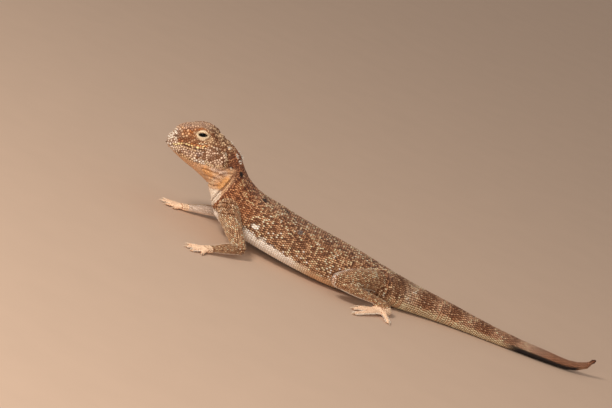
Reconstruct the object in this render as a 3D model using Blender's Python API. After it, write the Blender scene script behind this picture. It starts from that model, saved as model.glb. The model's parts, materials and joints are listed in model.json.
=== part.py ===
"""Secret toad-headed agama (Phrynocephalus mystaceus), a still life-size model.

The lizard rests on a level floor at z = 0 with its head towards -X, its tail towards +X and
its left side towards -Y. The front of the trunk is propped on the arms, the belly and the
tail lie on the floor, and the hind legs are folded.

Sizes in this file are millimetres. They become metres when a mesh is made.
"""

import math
import random
from collections import namedtuple

import bmesh
import bpy
from mathutils import Vector
from mathutils.bvhtree import BVHTree

MM = 0.001

# Gap kept between the faces of touching nodes
GAP = 0.3

# Head frame: its origin lies in the middle of the skull, its forward axis dips to the snout, and
# the head rolls a little about that axis, left side up
HEAD_ORIGIN = Vector((-60.0, 0.0, 26.0))
HEAD_DIP = math.radians(16.0)
HEAD_ROLL = math.radians(5.0)

# Rings round the body and along it
BODY_SIDES = 30
TAIL_SIDES = 18
HEAD_RING_STEP = 1.4
TRUNK_RING_STEP = 3.5
TAIL_RING_STEP = 3.8
SNOUT_RING_STEP = 0.5
SNOUT_LENGTH = 3.2
MOUTH_RUNS = 12

# Eyes, in head coordinates (forward, side, up)
EYE_FORWARD = 1.4
EYE_SIDE = 6.8
EYE_UP = 6.8
EYE_RADIUS = 2.25
LID_THICKNESS = 0.55
EYE_SLIT_LENGTH = 3.5
EYE_SLIT_HEIGHT = 1.5
EYE_LOOK_UP = math.radians(11.0)
EYE_SEGMENTS = 14
EYE_RINGS = 9
SLIT_POINTS = 9
SLIT_FROM = 0.5
SLIT_TO = 2.4

# Nostrils, line of the mouth and cheek flaps, in head coordinates
NOSTRIL_FORWARD = 11.0
NOSTRIL_UP = 5.2
NOSTRIL_SIDE = 6.8
NOSTRIL_RADIUS = 0.55
NOSTRIL_SEGMENTS = 8
NOSTRIL_RINGS = 6
MOUTH_GROOVE_RADIUS = 0.3
LIP_RADIUS = 0.55
LIP_RISE = 0.68
LIP_SINK = 0.26
MOUTH_SIDES = 5
CORNER_SIZE = 0.75
CORNER_GROWTH = 0.15
BROW_RINGS = 9
BROW_SIDES = 8
FLAP_FORWARD = -3.8
FLAP_SIDE = 10.1
FLAP_UP = 0.0
FLAP_LENGTH = 4.6
FLAP_HEIGHT = 3.2
FLAP_THICKNESS = 1.5
FLAP_TILT = math.radians(15.0)
FLAP_FLARE = 0.13
FLAP_SEGMENTS = 14
FLAP_RINGS = 7
FLAP_SPINES = 10
FLAP_SPINE_FROM = math.radians(135.0)
FLAP_SPINE_TO = math.radians(285.0)
FLAP_SPINE_LENGTH = 1.5
FLAP_SPINE_RADIUS = 0.55
FLAP_SPINE_ROOT = 0.80
FLAP_SPINE_SPLAY = 0.45

# Spine clusters on the back of the head and the nape
CLUSTER_SPINE_LENGTH = 1.3
CLUSTER_SPINE_RADIUS = 0.42
CLUSTER_SPREAD = 0.75
CLUSTER_SINK = 0.6
CLUSTER_LEAN = Vector((0.45, 0.0, 0.1))

# Limbs
LIMB_SIDES = 12
LIMB_RINGS = 7
PALM_RINGS = 5
ANKLE_RINGS = 3
DIGIT_SIDES = 7
DIGIT_RINGS = 4
HAND_DIGIT_RADIUS = 0.8
FOOT_DIGIT_RADIUS = 0.95
HAND_CLAW_LENGTH = 1.6
FOOT_CLAW_LENGTH = 2.1
CLAW_RADIUS = 0.42
CLAW_HEIGHT = 0.62
CLAW_SINK = 0.5
CLAW_ARCH = 0.22
CLAW_BEND = 0.55
CLAW_TIP_HEIGHT = 0.12
FRINGE_STEP = 1.6
FRINGE_LENGTH = 0.85
FRINGE_WIDTH = 0.75
FRINGE_SINK = 0.3
FRINGE_START = 0.32
FRINGE_SPAN = 0.62
FRINGE_LOWEST = 0.45

# Rounded end of a limb: reach past its last station and size there, as shares of its size
CAP_STEPS = ((0.50, 0.86), (0.90, 0.42))

# Digit: share of its length, height and size as shares of its radius
DIGIT_SHAPE = (
    (0.0, 1.15, 1.15), (0.32, 1.35, 0.95), (0.50, 1.15, 1.02), (0.74, 0.80, 0.78),
    (1.0, 0.52, 0.66),
)
DIGIT_FLATNESS = 0.92

# Palm stations past the wrist: reach, height, half width and half height
PALM_PLACES = ((2.2, 1.35, 2.1, 1.3), (4.2, 1.1, 2.2, 1.05))
PALM_MIDDLE = 2.6
HAND_SPREAD = 1.0

# Foot stations from the ankle, for an outer side of +1, with half width and half height
HEEL = ((1.3, 0.8, -1.75), 1.6, 1.45)
SOLE = ((-0.4, 2.6, -1.95), 2.2, 1.3)
BALL = ((-3.2, 4.4, -2.1), 2.3, 1.1)
ANKLE_SHARE = 0.2
ANKLE_RADIUS = 1.5
FOOT_SPREAD = 0.8

# Spines: where they bend and how wide they are there, as shares of their length and root
SPINE_BEND = 0.55
SPINE_WAIST = 0.6

CORNER_SIGNS = ((-1, -1), (1, -1), (1, 1), (-1, 1))
FLOOR_BLOCK_HALF = 150.0
FLOOR_BLOCK_DEPTH = 20.0
SMOOTH_ANGLE = math.radians(50.0)
SEED = 11

Finish = namedtuple("Finish", "colour roughness metallic")
SANDY_SKIN = Finish((0.42, 0.27, 0.16), 0.85, 0.0)
TAIL_SKIN = Finish((0.38, 0.24, 0.15), 0.85, 0.0)
LIMB_SKIN = Finish((0.47, 0.31, 0.20), 0.85, 0.0)
EYE_GLOSS = Finish((0.015, 0.012, 0.01), 0.12, 0.0)

# A ring stands on its highest and lowest points in the plane of symmetry. Its widest level is
# a share of its height, and the exponents shape its upper and its lower half.
Ring = namedtuple("Ring", "top_x top_z low_x low_z side half_width widest upper lower")

# A limb station is a centre with a half width and a half height.
Knot = namedtuple("Knot", "x y z wide high")


def head_axes(roll):
    """Forward, side and up directions of the head at a roll about its forward axis."""
    forward = Vector((-math.cos(HEAD_DIP), 0.0, -math.sin(HEAD_DIP)))
    level_up = Vector((-math.sin(HEAD_DIP), 0.0, math.cos(HEAD_DIP)))
    level_side = Vector((0.0, 1.0, 0.0))
    side = math.cos(roll) * level_side - math.sin(roll) * level_up
    return forward, side, math.cos(roll) * level_up + math.sin(roll) * level_side


def head_direction(forward, side, up, roll=HEAD_ROLL):
    """World direction of a vector given in head coordinates."""
    axes = head_axes(roll)
    return forward * axes[0] + side * axes[1] + up * axes[2]


def head_point(forward, side, up, roll=HEAD_ROLL):
    """World place of a point given in head coordinates."""
    return HEAD_ORIGIN + head_direction(forward, side, up, roll)


def head_coordinates(point):
    """Coordinates (forward, side, up) of a world point in the head frame before it is rolled."""
    return tuple((point - HEAD_ORIGIN).dot(axis) for axis in head_axes(0.0))


def head_ring(top_forward, top_up, low_forward, low_up, half_width, widest, upper, lower):
    """Ring whose highest and lowest points are given in head coordinates."""
    top = head_point(top_forward, 0.0, top_up, roll=0.0)
    low = head_point(low_forward, 0.0, low_up, roll=0.0)
    return Ring(top.x, top.z, low.x, low.z, 0.0, half_width, widest, upper, lower)


HEAD_RINGS = (
    head_ring(15.2, 4.0, 15.2, 2.8, 1.3, 0.50, 2.0, 2.0),
    head_ring(14.8, 4.9, 14.9, 1.3, 3.3, 0.50, 2.2, 2.1),
    head_ring(13.9, 5.7, 14.2, 0.2, 4.9, 0.50, 2.4, 2.1),
    head_ring(13.0, 6.9, 13.4, -0.6, 5.8, 0.48, 2.4, 2.1),
    head_ring(12.3, 8.2, 12.3, -1.6, 6.6, 0.46, 2.5, 2.1),
    head_ring(10.8, 9.3, 10.9, -2.6, 7.5, 0.44, 2.7, 2.1),
    head_ring(9.0, 9.9, 9.2, -3.8, 8.4, 0.44, 2.9, 2.1),
    head_ring(6.2, 10.3, 6.8, -5.3, 9.3, 0.44, 3.2, 2.1),
    head_ring(2.6, 10.4, 3.6, -7.2, 10.1, 0.46, 3.3, 2.0),
    head_ring(-1.0, 9.4, 0.2, -9.4, 10.6, 0.50, 2.6, 2.0),
    head_ring(-4.8, 7.0, -2.4, -11.4, 10.7, 0.52, 2.3, 2.0),
)
NAPE_RING = Ring(-50.1, 31.4, -54.4, 14.5, 0.0, 10.2, 0.52, 2.1, 2.0)
NECK_RINGS = (
    Ring(-47.4, 29.1, -52.4, 11.7, 0.0, 9.7, 0.50, 2.1, 2.0),
)
SHOULDER_RING = Ring(-44.7, 26.2, -50.3, 8.6, 0.0, 10.8, 0.48, 2.1, 2.1)
TRUNK_RINGS = (
    Ring(-42.4, 23.6, -48.4, 6.1, 0.0, 12.2, 0.46, 2.1, 2.2),
    Ring(-39.0, 21.5, -44.8, 4.0, 0.0, 13.2, 0.44, 2.1, 2.3),
    Ring(-35.0, 19.9, -38.8, 2.8, 0.0, 13.4, 0.42, 2.1, 2.4),
    Ring(-27.0, 18.7, -28.0, 1.7, 0.0, 14.8, 0.40, 2.1, 2.5),
    Ring(-18.0, 17.2, -18.0, 0.9, 0.0, 15.6, 0.40, 2.1, 2.6),
    Ring(-9.0, 16.2, -9.0, 0.2, 0.0, 15.4, 0.40, 2.1, 2.6),
    Ring(0.0, 15.5, 0.0, -0.3, 0.1, 14.2, 0.40, 2.1, 2.6),
    Ring(7.0, 14.8, 7.0, -0.3, 0.6, 12.0, 0.41, 2.1, 2.5),
    Ring(14.0, 13.7, 14.0, -0.3, 1.8, 10.0, 0.43, 2.1, 2.4),
)
VENT_RING = Ring(20.5, 12.4, 20.5, -0.2, 3.7, 9.0, 0.45, 2.1, 2.3)
TAIL_BASE_RINGS = (
    Ring(27.0, 11.1, 27.0, -0.2, 5.8, 7.8, 0.46, 2.1, 2.3),
    Ring(35.0, 9.7, 35.0, -0.2, 8.3, 6.2, 0.46, 2.1, 2.3),
)
TAIL_BASE_END = Ring(46.0, 8.3, 46.0, -0.2, 11.2, 4.8, 0.46, 2.1, 2.3)
TAIL_MIDDLE_RINGS = (
    Ring(56.0, 6.9, 56.0, -0.2, 13.2, 3.9, 0.46, 2.1, 2.3),
    Ring(66.0, 5.8, 66.0, -0.2, 14.9, 3.4, 0.46, 2.1, 2.3),
)
TAIL_MIDDLE_END = Ring(77.0, 5.0, 77.0, -0.2, 16.9, 2.9, 0.46, 2.1, 2.3)
TAIL_TIP_RINGS = (
    Ring(87.0, 4.6, 87.0, -0.1, 18.9, 2.6, 0.46, 2.1, 2.3),
    Ring(96.5, 4.0, 96.5, 0.1, 21.5, 2.0, 0.50, 2.1, 2.1),
    Ring(102.0, 4.9, 102.8, 2.0, 23.8, 1.45, 0.50, 2.0, 2.0),
    Ring(104.6, 6.3, 105.4, 4.5, 25.2, 0.9, 0.50, 2.0, 2.0),
    Ring(105.9, 7.3, 106.4, 6.6, 26.0, 0.38, 0.50, 2.0, 2.0),
)

BODY_RINGS = (
    *HEAD_RINGS, NAPE_RING, *NECK_RINGS, SHOULDER_RING, *TRUNK_RINGS, VENT_RING,
    *TAIL_BASE_RINGS, TAIL_BASE_END, *TAIL_MIDDLE_RINGS, TAIL_MIDDLE_END, *TAIL_TIP_RINGS,
)

# Line of the mouth: its turn in degrees about the middle of the jaws, and its level there
LipPlace = namedtuple("LipPlace", "turn up")
JAW_MIDDLE = 5.0
MOUTH_LINE = (
    LipPlace(0.0, 1.3), LipPlace(30.0, 1.2), LipPlace(55.0, 1.8), LipPlace(73.0, 2.6),
    LipPlace(88.0, 2.4), LipPlace(100.0, 1.9), LipPlace(111.0, 2.1), LipPlace(117.0, 3.0),
)

# Station of a brow, in head coordinates with its half width and half height
BrowPlace = namedtuple("BrowPlace", "forward side up wide high")
BROW_LINE = (
    BrowPlace(11.9, 3.8, 6.9, 0.7, 0.7), BrowPlace(9.3, 5.6, 8.2, 0.9, 0.9),
    BrowPlace(6.5, 6.6, 8.9, 1.15, 1.05), BrowPlace(3.8, 7.1, 9.5, 1.4, 1.0),
    BrowPlace(1.2, 7.2, 9.4, 1.4, 0.95), BrowPlace(-1.2, 6.8, 8.4, 1.15, 0.85),
    BrowPlace(-3.4, 5.9, 6.5, 0.7, 0.7),
)

# Soft swellings and hollows of the head, as (forward, side, up), height and reach
HEAD_FORMS = (
    ((6.4, 8.6, 6.2), -0.7, 2.2),
    ((1.6, 9.4, 6.8), -0.5, 2.6),
    ((-3.0, 9.2, 6.6), -0.4, 2.2),
    ((2.6, 10.0, 3.4), 0.5, 2.2),
    ((11.4, 6.4, 5.1), 0.5, 1.6),
    ((3.0, 0.0, 10.4), -0.4, 3.6),
    ((-0.5, 0.0, -9.4), 0.4, 3.5),
)

# Middles of the spine clusters on the left side, in world coordinates near the skin
HEAD_CLUSTERS = ((-52.8, -5.4, 31.8), (-53.9, -8.8, 29.4))
NECK_CLUSTERS = ((-48.9, -4.5, 30.5), (-47.3, -4.2, 28.6), (-49.6, -8.4, 25.4))
CLUSTER_SPINES = 4

LEFT_UPPER_ARM = (
    Knot(-45.2, -5.4, 15.0, 3.4, 3.8), Knot(-43.9, -11.8, 12.3, 4.2, 4.4),
    Knot(-39.7, -17.8, 8.5, 3.6, 3.7), Knot(-34.2, -22.6, 3.4, 2.6, 2.7),
)
LEFT_FOREARM = (
    Knot(-34.4, -22.8, 3.2, 2.2, 2.3), Knot(-37.6, -26.6, 2.9, 2.4, 2.2),
    Knot(-42.6, -32.0, 1.9, 1.6, 1.4),
)
RIGHT_UPPER_ARM = (
    Knot(-45.2, 5.4, 14.4, 3.4, 3.8), Knot(-45.0, 11.2, 11.4, 4.2, 4.2),
    Knot(-45.4, 14.8, 7.6, 3.5, 3.5), Knot(-45.8, 16.2, 3.3, 2.6, 2.6),
)
RIGHT_FOREARM = (
    Knot(-46.0, 16.0, 3.1, 2.2, 2.2), Knot(-51.2, 11.8, 2.8, 2.3, 2.1),
    Knot(-57.6, 7.4, 1.9, 1.6, 1.4),
)
LEFT_THIGH = (
    Knot(16.4, -3.6, 8.2, 4.4, 4.4), Knot(12.8, -9.4, 8.7, 3.9, 4.1),
    Knot(8.0, -14.6, 8.5, 3.3, 3.7), Knot(3.3, -18.9, 6.7, 2.7, 3.1),
)
RIGHT_THIGH = (
    Knot(16.4, 8.4, 7.0, 4.4, 4.0), Knot(12.8, 12.6, 6.8, 3.9, 3.7),
    Knot(8.0, 16.2, 6.4, 3.3, 3.4), Knot(3.3, 19.6, 5.4, 2.7, 2.8),
)
LEFT_SHANK = (
    Knot(3.6, -19.6, 6.1, 2.1, 2.2), Knot(11.0, -17.4, 5.2, 2.2, 2.1),
    Knot(18.0, -14.2, 4.3, 1.8, 1.7), Knot(23.6, -11.4, 3.2, 1.5, 1.5),
)
RIGHT_SHANK = (
    Knot(3.6, 20.2, 5.0, 2.1, 2.1), Knot(11.0, 20.0, 4.6, 2.2, 2.1),
    Knot(18.0, 20.0, 4.1, 1.8, 1.7), Knot(23.6, 20.6, 3.2, 1.5, 1.5),
)

Digit = namedtuple("Digit", "turn length fringed")
HAND_DIGITS = (
    Digit(-46.0, 5.4, False), Digit(-22.0, 7.6, False), Digit(0.0, 8.8, True),
    Digit(21.0, 8.6, True), Digit(50.0, 6.2, False),
)
FOOT_DIGITS = (
    Digit(12.0, 8.0, False), Digit(27.0, 11.4, False), Digit(41.0, 15.4, True),
    Digit(57.0, 19.4, True), Digit(112.0, 9.6, True),
)
LEFT_HAND_TURN = 33.0
RIGHT_HAND_TURN = -6.0


def clear_scene():
    """Remove every object of the start-up scene."""
    for scene_object in list(bpy.data.objects):
        bpy.data.objects.remove(scene_object, do_unlink=True)


def steady_slopes(places, values):
    """Slopes that let a cubic pass through the values without overshooting them."""
    count = len(values)
    chords = [(values[i + 1] - values[i]) / (places[i + 1] - places[i]) for i in range(count - 1)]
    slopes = [chords[0]]
    for before, after in zip(chords, chords[1:]):
        slopes.append(0.0 if before * after <= 0.0 else 2.0 * before * after / (before + after))
    slopes.append(chords[-1])
    return slopes


class Track:
    """Rows of numbers blended smoothly along the distance between their centres."""

    def __init__(self, rows, centre):
        self.places = [0.0]
        for first, second in zip(rows, rows[1:]):
            self.places.append(self.places[-1] + (centre(second) - centre(first)).length)
        self.kind = type(rows[0])
        self.columns = list(zip(*rows))
        self.slopes = [steady_slopes(self.places, column) for column in self.columns]

    def at(self, place):
        """The row at a distance along the track."""
        place = min(max(place, 0.0), self.places[-1])
        k = max(i for i in range(len(self.places) - 1) if self.places[i] <= place)
        width = self.places[k + 1] - self.places[k]
        t = (place - self.places[k]) / width
        rise = t * t * (3.0 - 2.0 * t)
        start = t * (1.0 - t) ** 2
        finish = t * t * (t - 1.0)
        return self.kind(*(
            column[k] * (1.0 - rise) + column[k + 1] * rise
            + width * (slope[k] * start + slope[k + 1] * finish)
            for column, slope in zip(self.columns, self.slopes)
        ))


def ring_centre(ring):
    """Middle of a ring."""
    return Vector((
        0.5 * (ring.top_x + ring.low_x), ring.side, 0.5 * (ring.top_z + ring.low_z)))


def knot_centre(knot):
    """Middle of a limb station."""
    return Vector((knot.x, knot.y, knot.z))


def rounded(value, exponent):
    """Signed power that turns a circle's sine or cosine into a superellipse's."""
    return math.copysign(abs(value) ** (2.0 / exponent), value)


def head_relief(point, centre):
    """Point of a head ring after the soft forms have moved it."""
    forward, side, up = head_coordinates(point)
    mirrored = Vector((forward, abs(side), up))
    push = 0.0
    for place, height, reach in HEAD_FORMS:
        push += height * math.exp(-((mirrored - Vector(place)).length / reach) ** 2)
    return point + push * (point - centre).normalized()


def roll_share(place):
    """Share of the head's roll that a place on the body's track takes up."""
    share = min(max((place - ROLL_START) / (ROLL_END - ROLL_START), 0.0), 1.0)
    return 1.0 - share * share * (3.0 - 2.0 * share)


def ring_points(track, place, sides):
    """Points of the body's ring at a place along its track, kept above the floor."""
    ring = track.at(place)
    ahead = track.at(place + 0.5)
    behind = track.at(place - 0.5)
    run = max(ring_centre(ahead).x - ring_centre(behind).x, 1e-3)
    heading = math.atan2(ahead.side - behind.side, run)
    top = Vector((ring.top_x, ring.side, ring.top_z))
    low = Vector((ring.low_x, ring.side, ring.low_z))
    across = Vector((-math.sin(heading), math.cos(heading), 0.0))
    middle = low.lerp(top, ring.widest)
    points = []
    for k in range(sides):
        angle = 2.0 * math.pi * k / sides
        sine = math.sin(angle)
        exponent = ring.upper if sine >= 0.0 else ring.lower
        reach = (top - middle) if sine >= 0.0 else (middle - low)
        point = middle + ring.half_width * rounded(math.cos(angle), exponent) * across
        point += rounded(sine, exponent) * reach
        if place < HEAD_END:
            point = head_relief(point, middle)
        if place < ROLL_END:
            point = head_point(*head_coordinates(point), roll=HEAD_ROLL * roll_share(place))
        point.z = max(point.z, 0.0)
        points.append(point)
    return points


def loft(rings):
    """Vertices and faces of a closed tube through the rings, with flat ends."""
    sides = len(rings[0])
    vertices = [point for ring in rings for point in ring]
    faces = [tuple(range(sides))]
    for row in range(len(rings) - 1):
        for k in range(sides):
            first = row * sides + k
            second = row * sides + (k + 1) % sides
            faces.append((first, first + sides, second + sides, second))
    faces.append(tuple(reversed(range(len(vertices) - sides, len(vertices)))))
    return vertices, faces


def make_object(name, vertices, faces):
    """Mesh object from vertices in millimetres, with its faces pointing out."""
    mesh = bpy.data.meshes.new(name)
    mesh.from_pydata([MM * Vector(vertex) for vertex in vertices], [], faces)
    work = bmesh.new()
    work.from_mesh(mesh)
    bmesh.ops.recalc_face_normals(work, faces=work.faces)
    work.to_mesh(mesh)
    work.free()
    made = bpy.data.objects.new(name, mesh)
    bpy.context.collection.objects.link(made)
    return made


def even_places(start, end, step):
    """Places from start to end about one step apart."""
    count = max(1, round((end - start) / step))
    return [start + (end - start) * k / count for k in range(count + 1)]


def body_length(name, track, start, end, step, sides):
    """One length of the body between two places of its track."""
    rings = [ring_points(track, place, sides) for place in even_places(start, end, step)]
    return make_object(name, *loft(rings))


def limb_frame(direction):
    """Sideways and upward directions of a section across a limb."""
    side = Vector((0.0, 0.0, 1.0)).cross(direction)
    if side.length < 1e-4:
        side = Vector((1.0, 0.0, 0.0))
    side.normalize()
    return side, direction.cross(side).normalized()


def limb_tube(name, knots, rings=LIMB_RINGS, sides=LIMB_SIDES, ends=(True, True), grow=0.0):
    """Tube through limb stations. An end that is rounded swells out past its last station."""
    track = Track(knots, knot_centre)
    length = track.places[-1]
    rows = [(length * k / rings, 0.0, 1.0) for k in range(rings + 1)]
    if ends[0]:
        rows = [(0.0, -reach, size) for reach, size in reversed(CAP_STEPS)] + rows
    if ends[1]:
        rows += [(length, reach, size) for reach, size in CAP_STEPS]
    loops = []
    for place, reach, size in rows:
        knot = track.at(place)
        direction = knot_centre(track.at(place + 0.3)) - knot_centre(track.at(place - 0.3))
        direction.normalize()
        side, up = limb_frame(direction)
        wide = knot.wide + grow
        high = knot.high + grow
        centre = knot_centre(knot) + reach * min(wide, high) * direction
        loop = []
        for k in range(sides):
            angle = 2.0 * math.pi * (k + 0.5) / sides
            spoke = wide * math.cos(angle) * side + high * math.sin(angle) * up
            loop.append(centre + size * spoke)
        loops.append(loop)
    return make_object(name, *loft(loops))


def apply_modifiers(target):
    """Replace an object's mesh with its evaluated one and drop its modifiers."""
    depsgraph = bpy.context.evaluated_depsgraph_get()
    depsgraph.update()
    mesh = bpy.data.meshes.new_from_object(target.evaluated_get(depsgraph))
    target.modifiers.clear()
    target.data = mesh


def boolean(target, operation, others, solver="MANIFOLD"):
    """Union or difference of the target with a collection of closed objects, then removed.

    The exact solver leaves open edges where limbs and toes meet almost face to face.
    """
    group = bpy.data.collections.new(target.name + "_tools")
    for other in others:
        group.objects.link(other)
    modifier = target.modifiers.new("join", "BOOLEAN")
    modifier.operation = operation
    modifier.operand_type = "COLLECTION"
    modifier.collection = group
    modifier.solver = solver
    apply_modifiers(target)
    for other in others:
        bpy.data.objects.remove(other, do_unlink=True)
    bpy.data.collections.remove(group)
    keep_largest(target)


def keep_largest(target):
    """Keep only the closed surface of the target that encloses the most."""
    work = bmesh.new()
    work.from_mesh(target.data)
    remaining = set(work.faces)
    shells = []
    while remaining:
        stack = [remaining.pop()]
        shell = []
        while stack:
            face = stack.pop()
            shell.append(face)
            for edge in face.edges:
                for neighbour in edge.link_faces:
                    if neighbour in remaining:
                        remaining.remove(neighbour)
                        stack.append(neighbour)
        shells.append(shell)
    volumes = [sum(shell_volume(face) for face in shell) for shell in shells]
    largest = volumes.index(max(volumes))
    scraps = [face for i, shell in enumerate(shells) if i != largest for face in shell]
    if scraps:
        bmesh.ops.delete(work, geom=scraps, context="FACES")
    work.to_mesh(target.data)
    work.free()


def shell_volume(face):
    """Signed volume between one face and the origin."""
    corners = [vertex.co for vertex in face.verts]
    first = corners[0]
    return sum(first.dot(a.cross(b)) for a, b in zip(corners[1:], corners[2:])) / 6.0


def inflated_copy(source, distance=GAP):
    """Copy of an object with its surface moved out by a distance."""
    mesh = source.data.copy()
    work = bmesh.new()
    work.from_mesh(mesh)
    work.normal_update()
    moves = [(vertex, vertex.normal * vertex.calc_shell_factor()) for vertex in work.verts]
    for vertex, move in moves:
        vertex.co += move * distance * MM
    work.to_mesh(mesh)
    work.free()
    copy = bpy.data.objects.new(source.name + "_clearance", mesh)
    bpy.context.collection.objects.link(copy)
    return copy


def cone(name, root, tip, radius, sides=5, bend=None):
    """Spine from its root to its tip, bent through a middle point where one is given."""
    middle = bend if bend is not None else root.lerp(tip, SPINE_BEND)
    loops = []
    for centre, size, ahead in ((root, 1.0, middle - root), (middle, SPINE_WAIST, tip - root)):
        side, up = limb_frame(ahead.normalized())
        loops.append([
            centre + size * radius * (math.cos(a) * side + math.sin(a) * up)
            for a in (2.0 * math.pi * k / sides for k in range(sides))
        ])
    vertices = [point for loop in loops for point in loop] + [tip]
    faces = [tuple(range(sides))]
    for k in range(sides):
        after = (k + 1) % sides
        faces.append((k, k + sides, after + sides, after))
        faces.append((k + sides, 2 * sides, after + sides))
    return make_object(name, vertices, faces)


def floor_block():
    """Block under the floor, which levels what would reach below it."""
    corners = [Vector((FLOOR_BLOCK_HALF * x, FLOOR_BLOCK_HALF * y, 0.0)) for x, y in CORNER_SIGNS]
    rings = [[corner + Vector((0.0, 0.0, z)) for corner in corners] for z in (-FLOOR_BLOCK_DEPTH, 0.0)]
    return make_object("floor_block", *loft(rings))


def surface_tree(source):
    """Search tree of an object's surface, in metres."""
    return BVHTree.FromPolygons(
        [vertex.co.copy() for vertex in source.data.vertices],
        [tuple(polygon.vertices) for polygon in source.data.polygons])


def nearest_surface(tree, point):
    """Nearest place on a surface and its outward normal, in millimetres."""
    place, normal, _, _ = tree.find_nearest(MM * Vector(point))
    return place / MM, normal


def mouth_tube(name, tree, radius, rise=0.0, sink=0.0):
    """Tube along the line of the mouth, from one corner round the snout to the other.

    It lies a rise above the line and a sink below the skin, and it thins towards both corners.
    """
    line = Track(MOUTH_LINE, lambda place: Vector((place.turn, 0.0, 0.0)))
    corner = MOUTH_LINE[-1].turn
    count = 2 * MOUTH_RUNS
    knots = []
    for k in range(count + 1):
        turn = corner * (k / MOUTH_RUNS - 1.0)
        up = line.at(abs(turn)).up + rise
        middle = head_point(JAW_MIDDLE, 0.0, up)
        ray = head_direction(math.cos(math.radians(turn)), math.sin(math.radians(turn)), 0.0)
        hit, normal, _, _ = tree.ray_cast(MM * (middle + 30.0 * ray), -ray)
        size = radius * min(1.0, CORNER_SIZE + CORNER_GROWTH * min(k, count - k))
        knots.append(Knot(*(hit / MM - sink * normal), size, size))
    return limb_tube(name, knots, rings=count, sides=MOUTH_SIDES, ends=(False, False))


def dress(target, finish):
    """Give a node its own material and smooth shading."""
    material = bpy.data.materials.new(target.name + "_finish")
    material.use_nodes = True
    shader = material.node_tree.nodes["Principled BSDF"]
    shader.inputs["Base Color"].default_value = (*finish.colour, 1.0)
    shader.inputs["Roughness"].default_value = finish.roughness
    shader.inputs["Metallic"].default_value = finish.metallic
    target.data.materials.clear()
    target.data.materials.append(material)
    target.data.shade_smooth()
    target.data.set_sharp_from_angle(angle=SMOOTH_ANGLE)


BODY_TRACK = Track(BODY_RINGS, ring_centre)


def body_place(ring):
    """Distance of a named ring along the body's track."""
    return BODY_TRACK.places[BODY_RINGS.index(ring)]


HEAD_END = body_place(NAPE_RING)
NECK_END = body_place(SHOULDER_RING)
TORSO_END = body_place(VENT_RING)
ROLL_START = body_place(HEAD_RINGS[-1])
ROLL_END = body_place(TRUNK_RINGS[1])


def round_ball(name, centre, axes, segments, rings):
    """Closed ellipsoid from its centre and its three half axes."""
    loops = []
    for row in range(1, rings):
        tilt = math.pi * row / rings
        loops.append([
            centre + math.sin(tilt) * (math.cos(a) * axes[0] + math.sin(a) * axes[1])
            + math.cos(tilt) * axes[2]
            for a in (2.0 * math.pi * k / segments for k in range(segments))
        ])
    vertices, faces = loft(loops)
    faces = faces[1:-1]
    top = len(vertices)
    bottom = top + 1
    vertices += [centre + axes[2], centre - axes[2]]
    last = (rings - 2) * segments
    for k in range(segments):
        after = (k + 1) % segments
        faces.append((top, k, after))
        faces.append((bottom, last + after, last + k))
    return make_object(name, vertices, faces)


def eye_ball(name, side_sign, radius):
    """Ball of a given radius about the middle of one eye."""
    centre = head_point(EYE_FORWARD, side_sign * EYE_SIDE, EYE_UP)
    axes = (
        radius * head_direction(1.0, 0.0, 0.0),
        radius * head_direction(0.0, 0.0, 1.0),
        radius * head_direction(0.0, 1.0, 0.0),
    )
    return round_ball(name, centre, axes, EYE_SEGMENTS, EYE_RINGS)


def eye_slit(side_sign):
    """Almond prism that opens the lids."""
    centre = head_point(EYE_FORWARD, side_sign * EYE_SIDE, EYE_UP)
    outward = head_direction(0.0, side_sign * math.cos(EYE_LOOK_UP), math.sin(EYE_LOOK_UP))
    along = head_direction(1.0, 0.0, 0.0)
    upward = head_direction(0.0, 0.0, 1.0)
    outline = []
    for edge in (1.0, -1.0):
        for k in range(SLIT_POINTS):
            t = edge * (2.0 * k / SLIT_POINTS - 1.0)
            height = edge * 0.5 * EYE_SLIT_HEIGHT * (1.0 - t * t)
            outline.append(0.5 * EYE_SLIT_LENGTH * t * along + height * upward)
    loops = [
        [centre + reach * EYE_RADIUS * outward + point for point in outline]
        for reach in (SLIT_FROM, SLIT_TO)
    ]
    return make_object("slit", *loft(loops))


def make_eye(name, side_sign):
    """Eyeball that sits behind the lids."""
    ball = eye_ball(name, side_sign, EYE_RADIUS)
    dress(ball, EYE_GLOSS)
    return ball


def brow(side_sign):
    """Shelf of the brow, from beside the nostril over the eye to the temple."""
    knots = []
    for place in BROW_LINE:
        centre = head_point(place.forward, side_sign * place.side, place.up)
        knots.append(Knot(*centre, place.wide, place.high))
    return limb_tube("brow", knots, rings=BROW_RINGS, sides=BROW_SIDES)


def cheek_flap(side_sign):
    """Folded flap at the corner of the mouth, with its spiny fringe."""
    centre = head_point(FLAP_FORWARD, side_sign * FLAP_SIDE, FLAP_UP)
    long_axis = head_direction(math.cos(FLAP_TILT), -FLAP_FLARE * side_sign, math.sin(FLAP_TILT))
    short_axis = head_direction(-math.sin(FLAP_TILT), 0.0, math.cos(FLAP_TILT))
    outward = head_direction(0.0, side_sign, 0.0)
    half_axes = (FLAP_LENGTH * long_axis, FLAP_HEIGHT * short_axis, FLAP_THICKNESS * outward)
    pieces = [round_ball("flap", centre, half_axes, FLAP_SEGMENTS, FLAP_RINGS)]
    for k in range(FLAP_SPINES):
        share = k / (FLAP_SPINES - 1)
        angle = FLAP_SPINE_FROM + (FLAP_SPINE_TO - FLAP_SPINE_FROM) * share
        spoke = math.cos(angle) * half_axes[0] + math.sin(angle) * half_axes[1]
        length = FLAP_SPINE_LENGTH * (1.0 - 0.35 * abs(2.0 * share - 1.0))
        root = centre + FLAP_SPINE_ROOT * spoke + 0.25 * outward
        aim = (spoke.normalized() + FLAP_SPINE_SPLAY * outward).normalized()
        tip = centre + spoke + length * aim
        pieces.append(cone("flap_spine", root, tip, FLAP_SPINE_RADIUS, sides=4))
    return pieces


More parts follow.
